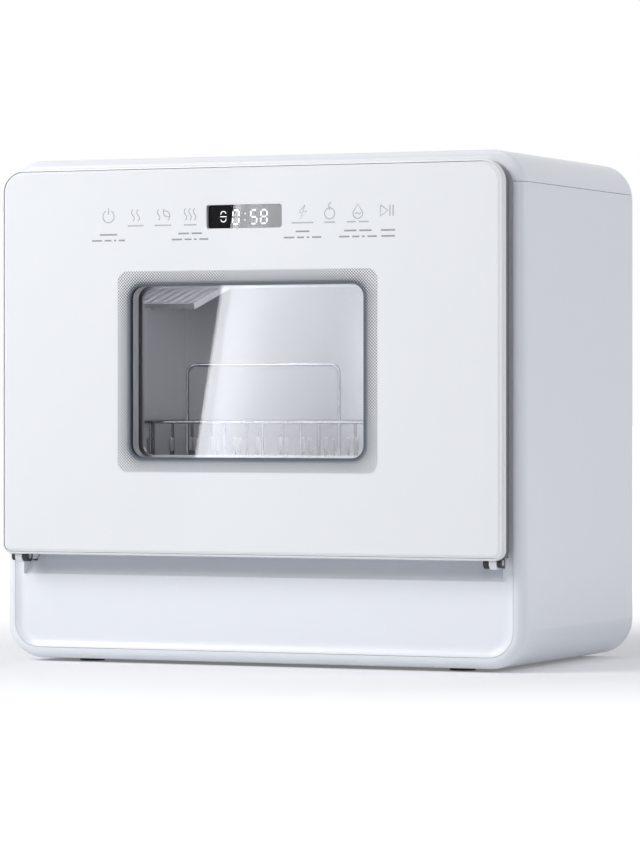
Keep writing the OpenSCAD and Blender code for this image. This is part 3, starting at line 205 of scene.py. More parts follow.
def makeCamera():
    camera = bpy.data.objects.new("camera", bpy.data.cameras.new("camera"))
    bpy.context.scene.collection.objects.link(camera)
    camera.location = cameraView["eye"]
    camera.rotation_euler = Vector(cameraView["lookAlong"]).to_track_quat("-Z", "Y").to_euler()
    camera.data.lens = cameraView["lens"]
    camera.data.sensor_width = cameraView["sensor"]
    camera.data.sensor_fit = "AUTO"
    camera.data.shift_y = cameraView["shiftY"]
    camera.data.clip_end = cameraView["farthest"]
    bpy.context.scene.camera = camera
    bpy.context.scene.view_settings.view_transform = "Standard"


# powers in watts; a lamp looks at the middle of the machine unless towards says otherwise
lamps = {
    "keyLamp": {"at": (-1.5, -1.9, 1.6), "size": (1.5, 1.5), "power": 49},
    "sideLamp": {"at": (2.9, 0.8, 1.1), "size": (1.4, 1.4), "power": 15, "colour": (0.93, 0.96, 1.0)},
    "topLamp": {"at": (0.2, 0.3, 2.4), "size": (1.6, 1.6), "power": 8},
    "fillLamp": {"at": (1.7, -2.1, 0.7), "size": (0.8, 0.8), "power": 6},
    "tubLamp": {"at": (0.04, -0.085, 0.384), "size": (0.22, 0.03), "power": 0.2,
                "towards": (-0.06, 0.10, 0.20)},
}
machineMiddle = (0, 0, 0.2)


def makeLamps():
    for lampName, facts in lamps.items():
        light = bpy.data.lights.new(lampName, "AREA")
        light.shape = "RECTANGLE"
        light.size, light.size_y = facts["size"]
        light.energy = facts["power"]
        light.color = facts.get("colour", (1, 1, 1))
        lamp = bpy.data.objects.new(lampName, light)
        bpy.context.scene.collection.objects.link(lamp)
        lamp.location = facts["at"]
        target = Vector(facts.get("towards", machineMiddle))
        lamp.rotation_euler = (target - Vector(facts["at"])).to_track_quat("-Z", "Y").to_euler()
        lamp.visible_camera = False


studioLight = {"colour": (0.95, 0.97, 1.0), "strength": 0.25, "background": (1, 1, 1)}


def makeWorld():
    sky = Paint(bpy.data.worlds.new("studio"), "OutputWorld")
    bpy.context.scene.world = sky.owner
    lighting = sky.node("Background", values={0: (*studioLight["colour"], 1), 1: studioLight["strength"]})
    background = sky.node("Background", values={0: (*studioLight["background"], 1), 1: 1.0})
    sky.finish(sky.node("MixShader", values={0: sky.studioRays(), 1: lighting, 2: background}))


# near the machine the floor keeps its shadow, and farther away it glows up to the white background
studioFloor = {"size": 80, "colour": (0.86, 0.87, 0.89), "glow": 0.16, "glowFrom": 0.36, "whiteFrom": 1.6,
               "grain": 3.0}


def makeFloor():
    startFresh()
    bpy.ops.mesh.primitive_plane_add(size=studioFloor["size"], location=(0, 0, 0))
    ground = bpy.context.object
    ground.name = "studioFloor"
    paint = newPaint("floorPaint")
    seen = paint.studioRays()
    spot = paint.place()
    x, y, z = paint.axes(spot)
    away = (x ** 2 + y ** 2).root()
    glow = away.ramp(studioFloor["glowFrom"], studioFloor["whiteFrom"], studioFloor["glow"], 1.0)
    grain = paint.noise(spot, studioFloor["grain"], 2.0)
    shade = paint.blend(grain, toned(studioFloor["colour"], 0.995), studioFloor["colour"])
    matt = paint.surface(shade, Roughness=0.9, Specular_IOR_Level=0.1)
    light = paint.node("Emission", values={0: paint.blend(glow * seen, (0, 0, 0), (1, 1, 1)), 1: 1.0})
    ground.data.materials.append(paint.finish(paint.node("AddShader", values={0: matt, 1: light})))


# a bright card that only reflections see: its slanted edge is what the door's glass mirrors
glareCard = {
    "depth": -2.5,
    "box": (-1.75, -0.40, 0.0, 0.75),
    "slant": ((-1.190, 0.02), (-1.064, 0.75)),
    "brightness": 8.0,
    "tint": (0.94, 0.96, 1.0),
    "dark": 0.006,
    "reach": 0.62,
    # distance from the slanted edge, and how bright the card is there
    "bands": [(0.0, 0.95), (0.009, 0.95), (0.012, 0.62), (0.024, 0.62), (0.027, 0.72), (0.08, 0.53),
              (0.19, 0.33), (0.30, 0.26), (0.60, 0.20)],
}


def cardGlowFinish():
    paint = newPaint("cardGlow")
    x, y, z = paint.axes(paint.place())
    (lowX, lowZ), (highX, highZ) = glareCard["slant"]
    inwards = x - (z - lowZ) * ((highX - lowX) / (highZ - lowZ)) - lowX
    stops = [(place / glareCard["reach"], (*[level * part for part in glareCard["tint"]], 1.0))
             for place, level in glareCard["bands"]]
    bright = paint.node("ValToRGB", {"stops": stops}, {0: inwards.ramp(0.0, glareCard["reach"])})
    shade = paint.blend(inwards < 0.0, bright, [glareCard["dark"]] * 3)
    return paint.finish(paint.node("Emission", values={0: shade, 1: glareCard["brightness"]}))


def makeGlareCard():
    x0, x1, z0, z1 = glareCard["box"]
    startFresh()
    bpy.ops.mesh.primitive_plane_add(size=1, location=((x0 + x1) / 2, glareCard["depth"], (z0 + z1) / 2),
                                     rotation=(math.pi / 2, 0, 0))
    card = bpy.context.object
    card.name = "glareCard"
    card.scale = (x1 - x0, z1 - z0, 1)
    bpy.ops.object.transform_apply(location=True, rotation=True, scale=True)
    card.data.materials.append(cardGlowFinish())
    card.visible_camera = False
    card.visible_diffuse = False
    card.visible_shadow = False
    card.visible_transmission = False


makeCamera()
makeLamps()
makeWorld()
makeFloor()
makeGlareCard()
print("stage ready")


def plasticFinish(name, colour, roughness, grain=0.02, uneven=0.03, shine=0.5):
    paint = newPaint(name)
    spot = paint.place()
    cloud = paint.noise(spot, 6.0, 2.0)
    fine = paint.noise(spot, 900.0, 2.0)
    return paint.finish(paint.surface(
        paint.blend(cloud, toned(colour, 0.985), toned(colour, 1.01)),
        Roughness=cloud.ramp(0.3, 0.7, roughness - uneven, roughness + uneven),
        Normal=paint.bump(fine, grain, 0.0004),
        Specular_IOR_Level=shine))


def brushedFinish(name, colour, roughness, along, metallic=1.0):
    paint = newPaint(name)
    spot = paint.place()
    streak = paint.noise(spot, 60.0, 5.0, 0.7, stretch=along)
    cloud = paint.noise(spot, 7.0, 2.0)
    return paint.finish(paint.surface(
        paint.blend(streak, toned(colour, 0.92), toned(colour, 1.06)),
        Metallic=metallic,
        Roughness=cloud.ramp(0.3, 0.7, roughness - 0.04, roughness + 0.05),
        Normal=paint.bump(streak, 0.05, 0.0003)))


def rubberFinish(name, colour):
    paint = newPaint(name)
    spot = paint.place()
    fine = paint.noise(spot, 500.0, 3.0)
    cloud = paint.noise(spot, 14.0, 3.0)
    return paint.finish(paint.surface(
        paint.blend(cloud, toned(colour, 0.8), toned(colour, 1.2)),
        Roughness=cloud.ramp(0.3, 0.7, 0.55, 0.72),
        Normal=paint.bump(fine, 0.15, 0.0004)))


def boardFinish():  # green board with lighter tracks
    paint = newPaint("boardGreen")
    cells = paint.node("TexVoronoi", {"feature": "F1", "distance": "MANHATTAN"},
                       {"Vector": paint.place(), "Scale": 240.0})
    tracks = cells.ramp(0.32, 0.38)
    shade = paint.blend(tracks, (0.010, 0.085, 0.045), (0.022, 0.14, 0.075))
    return paint.finish(paint.surface(shade, Roughness=0.35, Normal=paint.bump(tracks, 0.2, 0.0002)))


def clearGlass(name, tint, gloss=0.02):
    paint = newPaint(name)
    smear = paint.noise(paint.place(), 9.0, 2.0)
    through = paint.node("BsdfTransparent", values={0: (*tint, 1.0)})
    shine = paint.node("BsdfGlossy", values={"Color": (1, 1, 1, 1),
                                             "Roughness": smear.ramp(0.3, 0.7, gloss, gloss + 0.015)})
    share = paint.node("Fresnel", values={"IOR": 1.5})
    return paint.finish(paint.node("MixShader", values={0: share, 1: through, 2: shine}))


doorCore = {
    "bore": (-0.119, 0.119, 0.167, 0.335, 0.012),
    "dark": (0.115, 0.12, 0.135),
    "light": (0.62, 0.63, 0.68),
}


def doorCoreFinish():  # dark core whose window bore is light
    paint = newPaint("corePlastic")
    spot = paint.place()
    x, y, z = paint.axes(spot)
    dark, light = doorCore["dark"], doorCore["light"]
    bore = roundedDistance(x, z, *doorCore["bore"]) < 0.0
    cloud = paint.noise(spot, 6.0, 2.0)
    fine = paint.noise(spot, 900.0, 2.0)
    low = paint.blend(bore, toned(dark, 0.97), toned(light, 0.985))
    return paint.finish(paint.surface(
        paint.blend(cloud, low, paint.blend(bore, dark, light)),
        Roughness=cloud.ramp(0.3, 0.7, 0.39, 0.45),
        Normal=paint.bump(fine, 0.12, 0.0004)))


# sizes in metres on the front of the door: left, right, low, high and corner radius
frontGlass = {
    "window": (-0.108, 0.108, 0.178, 0.324, 0.011),
    "display": (-0.0367, 0.0333, 0.372, 0.392, 0.0025),
    "paint": (0.875, 0.89, 0.915),
    "tint": (0.965, 0.965, 0.975),
    "dot": (0.10, 0.112, 0.14),
    "dotPitch": 0.0026,
    "dotRadius": (0.00125, 0.00082, 0.00062),
    "dotBorder": 0.0127,
    "dotCorner": 0.009,
    "dotBlur": 0.00008,
    "darkBand": 0.0045,
}


def frontGlassFinish():  # white print behind glass, with a clear window, a clear display and a dotted border
    sizes = frontGlass
    paint = newPaint("printedGlass")
    spot = paint.place()
    x, y, z = paint.axes(spot)
    edge = roundedDistance(x, z, *sizes["window"])
    clear = (edge < 0.0).most(roundedDistance(x, z, *sizes["display"]) < 0.0)
    pitch = sizes["dotPitch"]

    def dotDistance(shift):  # distance to the nearest dot of one square grid
        dx = ((x / pitch + shift).fraction() - 0.5) * pitch
        dz = ((z / pitch + shift).fraction() - 0.5) * pitch
        return (dx ** 2 + dz ** 2).root()

    near = dotDistance(0.0).least(dotDistance(0.5))
    solid, middle, last = sizes["dotRadius"]
    inner, border = sizes["darkBand"], sizes["dotBorder"]
    size = edge.ramp(0.0, inner, solid - middle, 0.0) + edge.ramp(inner, border, middle, last)
    x0, x1, z0, z1, corner = sizes["window"]
    outer = roundedDistance(x, z, x0 - border, x1 + border, z0 - border, z1 + border, sizes["dotCorner"])
    dots = (size - near).ramp(-sizes["dotBlur"], sizes["dotBlur"]) * (outer < 0.0)
    cloud = paint.noise(spot, 5.0, 2.0)
    white = paint.blend(cloud, toned(sizes["paint"], 0.99), sizes["paint"])
    printed = paint.surface(paint.blend(dots, white, sizes["dot"]), Specular_IOR_Level=0.06,
                            Roughness=cloud.ramp(0.3, 0.7, 0.05, 0.07))
    through = paint.node("BsdfTransparent", values={0: (*sizes["tint"], 1.0)})
    shine = paint.node("BsdfGlossy", values={"Color": (1, 1, 1, 1), "Roughness": 0.006})
    share = paint.node("Fresnel", values={"IOR": 1.5})
    glass = paint.node("MixShader", values={0: share, 1: through, 2: shine})
    return paint.finish(paint.node("MixShader", values={0: clear, 1: printed, 2: glass}))


casingFinish = plasticFinish("casingPlastic", (0.87, 0.89, 0.94), 0.30, 0.03, uneven=0.004)
trimFinish = plasticFinish("trimPlastic", (0.86, 0.875, 0.90), 0.22)
shelfFinish = plasticFinish("shelfPlastic", (0.84, 0.85, 0.88), 0.35, 0.04)
innerGreyFinish = plasticFinish("innerGreyPlastic", (0.60, 0.62, 0.65), 0.38, 0.06)
pumpFinish = plasticFinish("pumpPlastic", (0.22, 0.23, 0.25), 0.5, 0.15)
blackFinish = plasticFinish("blackPlastic", (0.022, 0.022, 0.025), 0.42, 0.12)
displayFinish = plasticFinish("displayBlack", (0.005, 0.005, 0.006), 0.35, 0.0, shine=0.12)
rollerFinish = plasticFinish("rollerPlastic", (0.74, 0.75, 0.77), 0.4, 0.05)
tankFinish = plasticFinish("tankPlastic", (0.78, 0.82, 0.86), 0.35, 0.05)
frameFinish = plasticFinish("windowFramePlastic", (0.80, 0.82, 0.86), 0.35, 0.04)
capFinish = plasticFinish("capPlastic", (0.70, 0.71, 0.73), 0.35, 0.04)
iconInk = plasticFinish("paleInk", (0.44, 0.46, 0.50), 0.4, 0.0)
captionInk = plasticFinish("greyInk", (0.32, 0.33, 0.36), 0.4, 0.0)
hoseFinish = rubberFinish("blackRubber", (0.035, 0.035, 0.037))
sealFinish = rubberFinish("sealRubber", (0.18, 0.18, 0.19))
gasketFinish = rubberFinish("gasketRubber", (0.42, 0.43, 0.46))
tubFinish = brushedFinish("tubSteel", (0.80, 0.81, 0.83), 0.34, (1.0, 1.0, 30.0), 0.55)
rearFinish = brushedFinish("rearSteel", (0.80, 0.81, 0.83), 0.34, (30.0, 1.0, 1.0), 0.55)
linerFinish = brushedFinish("linerSteel", (0.66, 0.67, 0.69), 0.32, (1.0, 30.0, 30.0))
wireFinish = brushedFinish("wireSteel", (0.40, 0.41, 0.44), 0.14, (8.0, 8.0, 8.0))
screwFinish = brushedFinish("screwSteel", (0.62, 0.62, 0.63), 0.28, (20.0, 20.0, 20.0))

finishOf = {
    casingFinish: ["side_shell", "top_cover", "front_bezel", "back_panel", "filler_lid", "hinge_brackets"],
    trimFinish: ["door_trim"],
    frontGlassFinish(): ["door_glass"],
    clearGlass("paneGlass", (0.97, 0.97, 0.975)): ["inner_pane"],
    frameFinish: ["window_frame"],
    shelfFinish: ["cup_shelf"],
    doorCoreFinish(): ["door_core"],
    pumpFinish: ["drain_pump", "wash_pump", "drain_spigot", "inlet_valve", "blower_housing",
                 "latch_receiver"],
    sealFinish: ["tub_seal"],
    gasketFinish: ["pane_gasket"],
    tubFinish: ["tub_wrap", "tub_base", "filter_plate", "heater_ring"],
    rearFinish: ["tub_rear"],
    linerFinish: ["inner_liner"],
    wireFinish: ["basket_front_panel", "basket_side_panels", "basket_floor_grid", "tine_rack"],
    screwFinish: ["rear_screws", "liner_screws", "hinge_pins", "filler_pin", "blower_motor"],
    innerGreyFinish: ["rails", "cutlery_holder", "roller_brackets", "filter_cup", "spray_arm",
                      "spray_hub", "sump", "base_tray", "float_switch", "latch_hook"],
    blackFinish: ["feet", "hinge_clevises", "cord_gland", "blower_impeller"],
    displayFinish: ["display_module"],
    hoseFinish: ["short_hoses", "drain_hose", "fill_hose"],
    tankFinish: ["water_tank"],
    rollerFinish: ["roller_front_left", "roller_front_right", "roller_rear_left", "roller_rear_right"],
    boardFinish(): ["power_board", "touch_board"],
}
sharpAngle = 32  # degrees; edges sharper than this stay sharp on the CAD nodes
for finish, names in finishOf.items():
    for name in names:
        nodes[name].data.materials.clear()
        nodes[name].data.materials.append(finish)
        activate(nodes[name])
        bpy.ops.object.shade_smooth_by_angle(angle=math.radians(sharpAngle))
print("finishes on")


printSizes = {"thick": 0.00003, "proud": 0.00002, "lidProud": 0.00001, "displayProud": 0.0001}


def strokes(name, lines, width, level, finish, body="door", flat="Y"):
    # printed lines in millimetres, laid on a face that looks along Y or Z
    curve = bpy.data.curves.new(name, "CURVE")
    curve.dimensions = "3D"
    curve.bevel_depth = width / 2000
    curve.bevel_resolution = 1
    curve.use_fill_caps = True
    for line in lines:
        spline = curve.splines.new("POLY")
        spline.points.add(len(line) - 1)
        for point, (across, up) in zip(spline.points, line):
            flatY, flatZ = (0, up / 1000) if flat == "Y" else (up / 1000, 0)
            point.co = (across / 1000, flatY, flatZ, 1)
    made = bpy.data.objects.new(name, curve)
    bpy.context.scene.collection.objects.link(made)
    activate(made)
    bpy.ops.object.convert(target="MESH")
    made = bpy.context.object
    bpy.ops.object.mode_set(mode="EDIT")
    bpy.ops.mesh.select_all(action="SELECT")
    thin = printSizes["thick"] / (width / 1000)
    bpy.ops.transform.resize(value=(1, thin, 1) if flat == "Y" else (1, 1, thin), center_override=(0, 0, 0))
    bpy.ops.transform.translate(value=(0, level, 0) if flat == "Y" else (0, 0, level))
    bpy.ops.object.mode_set(mode="OBJECT")
    made.data.materials.clear()
    made.data.materials.append(finish)
    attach(made, body)
    return made


def arc(cx, cz, radius, start, end, steps=20):
    turns = [math.radians(start + (end - start) * i / steps) for i in range(steps + 1)]
    return [(cx + radius * math.cos(turn), cz + radius * math.sin(turn)) for turn in turns]


def wave(cx, cz, height, swing, steps=16):  # an upright S of rising steam
    return [(cx + swing * math.sin(2 * math.pi * i / steps), cz + height * (i / steps - 0.5))
            for i in range(steps + 1)]


def dropOutline(cx, cz, radius, tip, steps):  # a water drop that ends in a point above
    outline = arc(cx, cz, radius, 150, 390, steps) + [(cx, cz + tip)]
    return outline + [outline[0]]


# sizes in millimetres; the words are printed as plain dashes
symbols = {"row": 384.5, "captionRow": 375.6, "lowRow": 368.3, "lastRow": 363.3, "line": 0.95,
           "faintLine": 1.2, "darkLine": 1.6, "wordGap": 1.7, "wordEnd": 0.4}
row = symbols["row"]
powerSign = [arc(-129.4, row - 0.6, 5.3, 118, 422), [(-129.4, row + 1), (-129.4, row + 6.4)]]
steamSigns = [wave(x, row, 10, swing)
              for x, swing in ((-106.2, 1.3), (-101.2, 1.3), (-56.4, 1.2), (-52.1, 1.2), (-47.8, 1.2))]
steamAndCup = [wave(-81.8, row, 9, 1.2), arc(-75.4, row - 1, 4.2, -60, 120),
               arc(-73.1, row + 2.4, 4.2, 145, 300)]
flash = [[(54.6, row + 6), (49.0, row - 0.4), (52.4, row - 0.1), (50.4, row - 6), (56.2, row + 0.8),
          (52.7, row + 0.6), (54.6, row + 6)]]
fruit = [arc(77.2, row - 1.6, 4.6, 0, 360), arc(79.4, row + 4.8, 3.0, 100, 215),
         [(77.0, row + 1.2), (77.8, row + 4)]]
drop = [arc(102.9, row - 1.8, 4.4, 160, 380), [(98.8, row - 0.6), (102.9, row + 6), (107.0, row - 0.6)],
        [(100.2, row - 2.4), (102.2, row - 1.2), (104.0, row - 2.6), (105.8, row - 1.4)]]
startSign = [[(123.6, row + 4.6), (123.6, row - 4.6), (130.2, row), (123.6, row + 4.6)],
             [(132.0, row + 4.6), (132.0, row - 4.6)], [(134.8, row + 4.6), (134.8, row - 4.6)]]
# middle of each caption, and half the length of each of its words, upper row and lower row
faintRows = [(-103.6, [7.9]), (-77.6, [8.3]), (-52.1, [6.3]), (52.4, [10.4]), (77.2, [5.4]),
             (102.9, [4.4, 5.0])]
darkRows = [(-129.4, [8.6], [5.2, 3.6, 1.4, 3.4]), (-52.1, [5.4, 5.2], [5.2, 3.6, 1.6, 4.6]),
            (52.4, [6.7], [5.2, 3.6, 1.6, 4.6]), (102.9, [6.0, 6.0], [5.2, 3.6, 1.6, 4.6]),
            (130.2, [6.7], [6.5])]


def dashes(middle, halves, height):  # a row of dashes as long as words, round a middle
    gap, end = symbols["wordGap"], symbols["wordEnd"]
    left = middle - sum(halves) - gap * (len(halves) - 1) / 2
    made = []
    for half in halves:
        made.append([(left + end, height), (left + 2 * half - end, height)])
        left += 2 * half + gap
    return made


def makeDoorPrint():
    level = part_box("door_glass")[0].y - printSizes["proud"]
    glyphs = powerSign + steamSigns + steamAndCup + flash + fruit + drop + startSign
    strokes("symbolPrint", glyphs, symbols["line"], level, iconInk)
    faintLines, darkLines = [], []
    for x, words in faintRows:
        faintLines += dashes(x, words, symbols["captionRow"])
    for x, upper, lower in darkRows:
        darkLines += dashes(x, upper, symbols["lowRow"]) + dashes(x, lower, symbols["lastRow"])
    strokes("faintPrint", faintLines, symbols["faintLine"], level, iconInk)
    strokes("captionPrint", darkLines, symbols["darkLine"], level, captionInk)


displayDigits = {"middle": 381.6, "height": 11.6, "width": 5.6, "line": 1.15, "slant": 0.25, "gap": 1.0,
                 "glow": 1.3, "markLine": 0.8,
                 "shown": [(-11.2, "abcdef"), (5.4, "acdfg"), (14.8, "abcdefg")]}
segmentEnds = {"a": (0, 1, 1, 1), "b": (1, 1, 1, 0), "c": (1, 0, 1, -1), "d": (0, -1, 1, -1),
               "e": (0, 0, 0, -1), "f": (0, 1, 0, 0), "g": (0, 0, 1, 0)}


def digit(cx, segments):
    def corner(x, z):
        return Vector(((x - 0.5) * displayDigits["width"] + z * displayDigits["slant"],
                       z * displayDigits["height"] / 2))
    lines = []
    for key in segments:
        ax, az, bx, bz = segmentEnds[key]
        a, b = corner(ax, az), corner(bx, bz)
        inwards = (b - a).normalized() * displayDigits["gap"]
        lines.append([(cx + p.x, displayDigits["middle"] + p.y) for p in (a + inwards, b - inwards)])
    return lines


def digitsFinish():
    paint = newPaint("lightDigits")
    cloud = paint.noise(paint.place(), 60.0)
    glow = paint.blend(cloud, (0.93, 0.97, 1.0), (1.0, 1.0, 1.0))
    return paint.finish(paint.surface((0.9, 0.9, 0.9), Roughness=0.4, Emission_Color=glow,
                                      Emission_Strength=displayDigits["glow"]))


def makeDisplay():
    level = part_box("display_module")[0].y - printSizes["displayProud"]
    lit = digitsFinish()
    lines = []
    for cx, segments in displayDigits["shown"]:
        lines += digit(cx, segments)
    lines += [[(-2.9, 384.3), (-2.3, 384.3)], [(-3.1, 379), (-2.5, 379)]]  # the two points between the digits
    strokes("displayDigits", lines, displayDigits["line"], level, lit)
    tray = [arc(-22.8, 384.2, 2.4, 10, 190, 10), arc(-22.8, 380.0, 2.4, 190, 370, 10),
            [(-25.8, 382.1), (-19.8, 382.1)]]
    strokes("displayMark", tray, displayDigits["markLine"], level, lit)


makeDoorPrint()
makeDisplay()
print("print and display done")


def selectWhere(piece, test, kind="VERT"):  # picks vertices, edges or faces in edit mode by their place
    bpy.ops.mesh.select_mode(type=kind)
    bpy.ops.mesh.select_all(action="DESELECT")
    mesh = bmesh.from_edit_mesh(piece.data)
    for part in {"VERT": mesh.verts, "EDGE": mesh.edges, "FACE": mesh.faces}[kind]:
        part.select = test(part)
    if kind != "EDGE":
        mesh.select_flush(True)
    bmesh.update_edit_mesh(piece.data)


def settle(piece, name, finish, body, angle=35):  # place goes into the mesh, piece rides on its body
    activate(piece)
    bpy.ops.object.transform_apply(location=True, rotation=True, scale=True)
    bpy.ops.object.shade_smooth_by_angle(angle=math.radians(angle))
    piece.name = piece.data.name = name
    piece.data.materials.clear()
    piece.data.materials.append(finish)
    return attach(piece, body)


def copies(piece, moves):  # copies of one piece, each with its own mesh, joined into it
    made = [piece]
    for move in moves[1:]:
        twin = piece.copy()
        twin.data = piece.data.copy()
        bpy.context.scene.collection.objects.link(twin)
        twin.location = piece.location + Vector(move) - Vector(moves[0])
        made.append(twin)
    startFresh()
    for part in made:
        part.select_set(True)
    bpy.context.view_layer.objects.active = piece
    bpy.ops.object.join()
    return bpy.context.object


def soften(piece, width, segments):  # small rounding on every sharp edge
    activate(piece)
    rounding = piece.modifiers.new("rounding", "BEVEL")
    rounding.width = width
    rounding.segments = segments
    rounding.limit_method = "ANGLE"
    bpy.ops.object.modifier_apply(modifier=rounding.name)


tineCap = {"radius": 0.0021, "length": 0.008, "across": 11, "step": 0.022, "first": 0.0074,
           "fromFront": 0.00285, "fromRear": 0.0013, "below": 0.0013}


def makeTineCaps():  # rounded plastic cap on every tine of the rack
    low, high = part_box("tine_rack")
    level = high.z - tineCap["below"]
    spots = [(low.x + tineCap["first"] + i * tineCap["step"], depth, level)
             for depth in (low.y + tineCap["fromFront"], high.y - tineCap["fromRear"])
             for i in range(tineCap["across"])]
    startFresh()
    bpy.ops.mesh.primitive_uv_sphere_add(segments=10, ring_count=8, radius=tineCap["radius"],
                                         location=spots[0])
    cap = bpy.context.object
    bpy.ops.object.mode_set(mode="EDIT")
    selectWhere(cap, lambda corner: corner.co.z < -0.0001)
    bpy.ops.transform.translate(value=(0, 0, -tineCap["length"]))
    bpy.ops.object.mode_set(mode="OBJECT")
    settle(copies(cap, spots), "tineCaps", capFinish, "basket")


inletThread = {"at": (0.092, 0.048), "radius": 0.0129, "wire": 0.00075, "fromEnd": 0.0012, "turns": 5,
               "pitch": 0.0021}


def makeInletThread():
    x, z = inletThread["at"]
    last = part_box("inlet_valve")[1].y - inletThread["fromEnd"]
    startFresh()
    bpy.ops.mesh.primitive_torus_add(major_segments=40, minor_segments=6,
                                     major_radius=inletThread["radius"], minor_radius=inletThread["wire"],
                                     location=(x, last, z), rotation=(math.pi / 2, 0, 0))
    turns = [(0, -i * inletThread["pitch"], 0) for i in range(inletThread["turns"])]
    settle(copies(bpy.context.object, turns), "inletThread", pumpFinish, "cabinet")


detergentCup = {"across": (0.004, 0.100), "up": (0.120, 0.160), "proud": 0.0042, "sunk": 0.0022,
                "corner": 0.008, "rim": 0.004, "well": 0.0016, "lidInset": 0.0025, "lidLift": 0.0012,
                "gripInset": 0.004, "gripDepth": 0.0004, "soft": 0.0004}


def runsInwards(edge):  # true for the cup's edges that run into the machine
    return abs(edge.verts[0].co.y - edge.verts[1].co.y) > detergentCup["proud"] / 2


def makeDetergentCup():  # tablet cup with a sliding lid, on the inside of the door
    sizes = detergentCup
    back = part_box("inner_liner")[1].y - sizes["sunk"]
    (x0, x1), (z0, z1) = sizes["across"], sizes["up"]
    startFresh()
    bpy.ops.mesh.primitive_cube_add(size=1, location=((x0 + x1) / 2, back + sizes["proud"] / 2,
                                                      (z0 + z1) / 2))
    cup = bpy.context.object
    cup.scale = (x1 - x0, sizes["proud"], z1 - z0)
    bpy.ops.object.transform_apply(location=True, rotation=True, scale=True)
    bpy.ops.object.mode_set(mode="EDIT")
    selectWhere(cup, runsInwards, "EDGE")
    bpy.ops.mesh.bevel(offset=sizes["corner"], segments=6)
    selectWhere(cup, lambda face: face.normal.y > 0.9, "FACE")
    steps = ((sizes["rim"], -sizes["well"]), (sizes["lidInset"], sizes["lidLift"]),
             (sizes["gripInset"], -sizes["gripDepth"]))
    for inset, lift in steps:
        bpy.ops.mesh.inset(thickness=inset, depth=0.0)
        bpy.ops.mesh.extrude_region_move(TRANSFORM_OT_translate={"value": (0, lift, 0)})
    bpy.ops.object.mode_set(mode="OBJECT")
    soften(cup, sizes["soft"], 2)
    settle(cup, "detergentCup", innerGreyFinish, "door", 40)


filterMesh = {"radius": 0.0239, "low": 0.070, "high": 0.099, "wall": 0.0003, "pitch": 0.0011, "hole": 0.30}


def filterMeshFinish(middle):  # woven steel mesh, open between its wires
    paint = newPaint("filterMeshSteel")
    x, y, z = paint.axes(paint.place())
    turn = paint.node("Math", {"operation": "ARCTAN2"}, {0: y - middle.y, 1: x - middle.x})
    along = abs((turn * (filterMesh["radius"] / filterMesh["pitch"])).fraction() - 0.5)
    up = abs((z / filterMesh["pitch"]).fraction() - 0.5)
    hole = (along < filterMesh["hole"]) * (up < filterMesh["hole"])
    steel = paint.surface((0.55, 0.56, 0.58), Metallic=1.0, Roughness=0.35,
                          Normal=paint.bump(along.most(up), 0.4, 0.0003))
    return paint.finish(paint.node("MixShader", values={0: hole, 1: steel,
                                                        2: paint.node("BsdfTransparent")}))


def makeFilterMesh():
    cupLow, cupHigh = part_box("filter_cup")
    middle = (cupLow + cupHigh) / 2
    low, high = filterMesh["low"], filterMesh["high"]
    startFresh()
    bpy.ops.mesh.primitive_cylinder_add(vertices=96, radius=filterMesh["radius"], depth=high - low,
                                        end_fill_type="NOTHING",
                                        location=(middle.x, middle.y, (high + low) / 2))
    sieve = bpy.context.object
    bpy.ops.object.mode_set(mode="EDIT")
    bpy.ops.mesh.select_all(action="SELECT")
    bpy.ops.mesh.subdivide(number_cuts=1)
    bpy.ops.object.mode_set(mode="OBJECT")
    wall = sieve.modifiers.new("wall", "SOLIDIFY")
    wall.thickness = filterMesh["wall"]
    activate(sieve)
    bpy.ops.object.modifier_apply(modifier=wall.name)
    settle(sieve, "filterMesh", filterMeshFinish(middle), "filter_cup", 40)


# places in metres from the hub, on both halves of the arm
nozzle = {"radius": 0.0021, "wire": 0.00045, "level": 0.008,
          "spots": [(0.030, 0.003), (0.045, -0.003), (0.060, 0.003), (0.075, -0.003)]}


def makeNozzleRims():
    armLow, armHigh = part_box("spray_arm")
    hub = (armLow + armHigh) / 2
    spots = [(hub.x + way * dx, hub.y + way * dy, armLow.z + nozzle["level"])
             for way in (1, -1) for dx, dy in nozzle["spots"]]
    startFresh()
    bpy.ops.mesh.primitive_torus_add(major_segments=20, minor_segments=6, major_radius=nozzle["radius"],
                                     minor_radius=nozzle["wire"], location=spots[0])
    settle(copies(bpy.context.object, spots), "nozzleRims", innerGreyFinish, "spray_arm")


makeTineCaps()
makeInletThread()
makeDetergentCup()
makeFilterMesh()
makeNozzleRims()

# sizes in millimetres
fillerMark = {"line": 0.9, "radius": 5.0, "tip": 12, "back": 3}
portMarks = {"line": 0.9, "row": 88, "arrow": 9, "head": 4, "dropAbove": 8, "dropRadius": 3.2, "dropTip": 7,
             "ports": ((92, -1), (146, 1))}


def makeFillerMark():
    low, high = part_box("filler_lid")
    x, y = (low.x + high.x) * 500, (low.y + high.y) * 500
    mark = dropOutline(x, y - fillerMark["back"], fillerMark["radius"], fillerMark["tip"], 24)
    strokes("fillerMark", [mark], fillerMark["line"], high.z + printSizes["lidProud"], iconInk,
            "filler_lid", "Z")


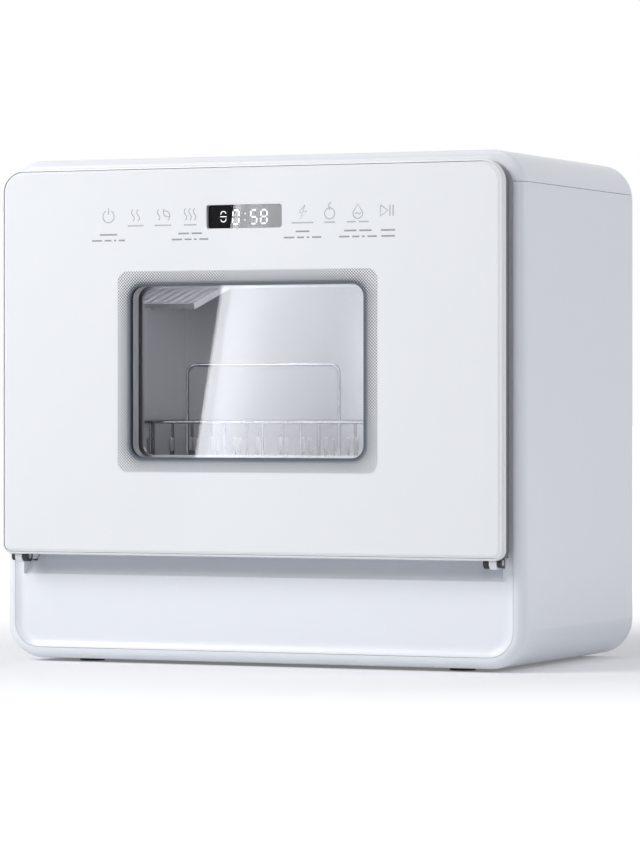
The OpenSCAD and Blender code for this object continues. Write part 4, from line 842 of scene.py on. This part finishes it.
def makePortMarks():  # an arrow and a drop beside the inlet and the drain
    sizes = portMarks
    height, reach = sizes["row"], sizes["arrow"]
    lines = []
    for x, way in sizes["ports"]:
        tip = x + way * reach
        barb = x + way * reach / 2
        lines.append([(x - reach, height), (x + reach, height)])
        lines.append([(barb, height + sizes["head"]), (tip, height), (barb, height - sizes["head"])])
        lines.append(dropOutline(x, height + sizes["dropAbove"], sizes["dropRadius"], sizes["dropTip"], 16))
    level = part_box("back_panel")[1].y + printSizes["proud"]
    strokes("portMarks", lines, sizes["line"], level, captionInk, "cabinet", "Y")


ventScreen = {"middle": (0.105, 0.334), "size": (0.100, 0.108), "behind": 0.0034, "rim": 0.004,
              "rimLift": 0.0004, "thick": 0.0008, "pitch": 0.0024, "hole": 0.32, "holesReach": (0.044, 0.048)}


def ventScreenFinish():  # black dust screen with round holes
    paint = newPaint("ventScreenBlack")
    x, y, z = paint.axes(paint.place())
    dx = (x / ventScreen["pitch"]).fraction() - 0.5
    dz = (z / ventScreen["pitch"]).fraction() - 0.5
    ring = (dx ** 2 + dz ** 2).root()
    middleX, middleZ = ventScreen["middle"]
    reachX, reachZ = ventScreen["holesReach"]
    inside = (abs(abs(x) - middleX) < reachX) * (abs(z - middleZ) < reachZ)
    body = paint.surface((0.03, 0.03, 0.033), Roughness=0.5,
                         Normal=paint.bump(ring.ramp(0.3, 0.45), 0.5, 0.0004))
    return paint.finish(paint.node("MixShader", values={0: (ring < ventScreen["hole"]) * inside, 1: body,
                                                        2: paint.node("BsdfTransparent")}))


def makeVentScreens():
    sizes = ventScreen
    x, z = sizes["middle"]
    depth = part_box("back_panel")[1].y - sizes["behind"]
    startFresh()
    bpy.ops.mesh.primitive_plane_add(size=1, location=(x, depth, z), rotation=(math.pi / 2, 0, 0))
    screen = bpy.context.object
    screen.scale = (*sizes["size"], 1)
    bpy.ops.object.transform_apply(location=False, rotation=False, scale=True)
    bpy.ops.object.mode_set(mode="EDIT")
    bpy.ops.mesh.select_all(action="SELECT")
    bpy.ops.mesh.inset(thickness=sizes["rim"], depth=sizes["rimLift"])
    bpy.ops.object.mode_set(mode="OBJECT")
    body = screen.modifiers.new("body", "SOLIDIFY")
    body.thickness = sizes["thick"]
    bpy.ops.object.modifier_apply(modifier=body.name)
    settle(copies(screen, [(x, depth, z), (-x, depth, z)]), "ventScreens", ventScreenFinish(), "cabinet")


makeFillerMark()
makePortMarks()
makeVentScreens()
print("small pieces done")
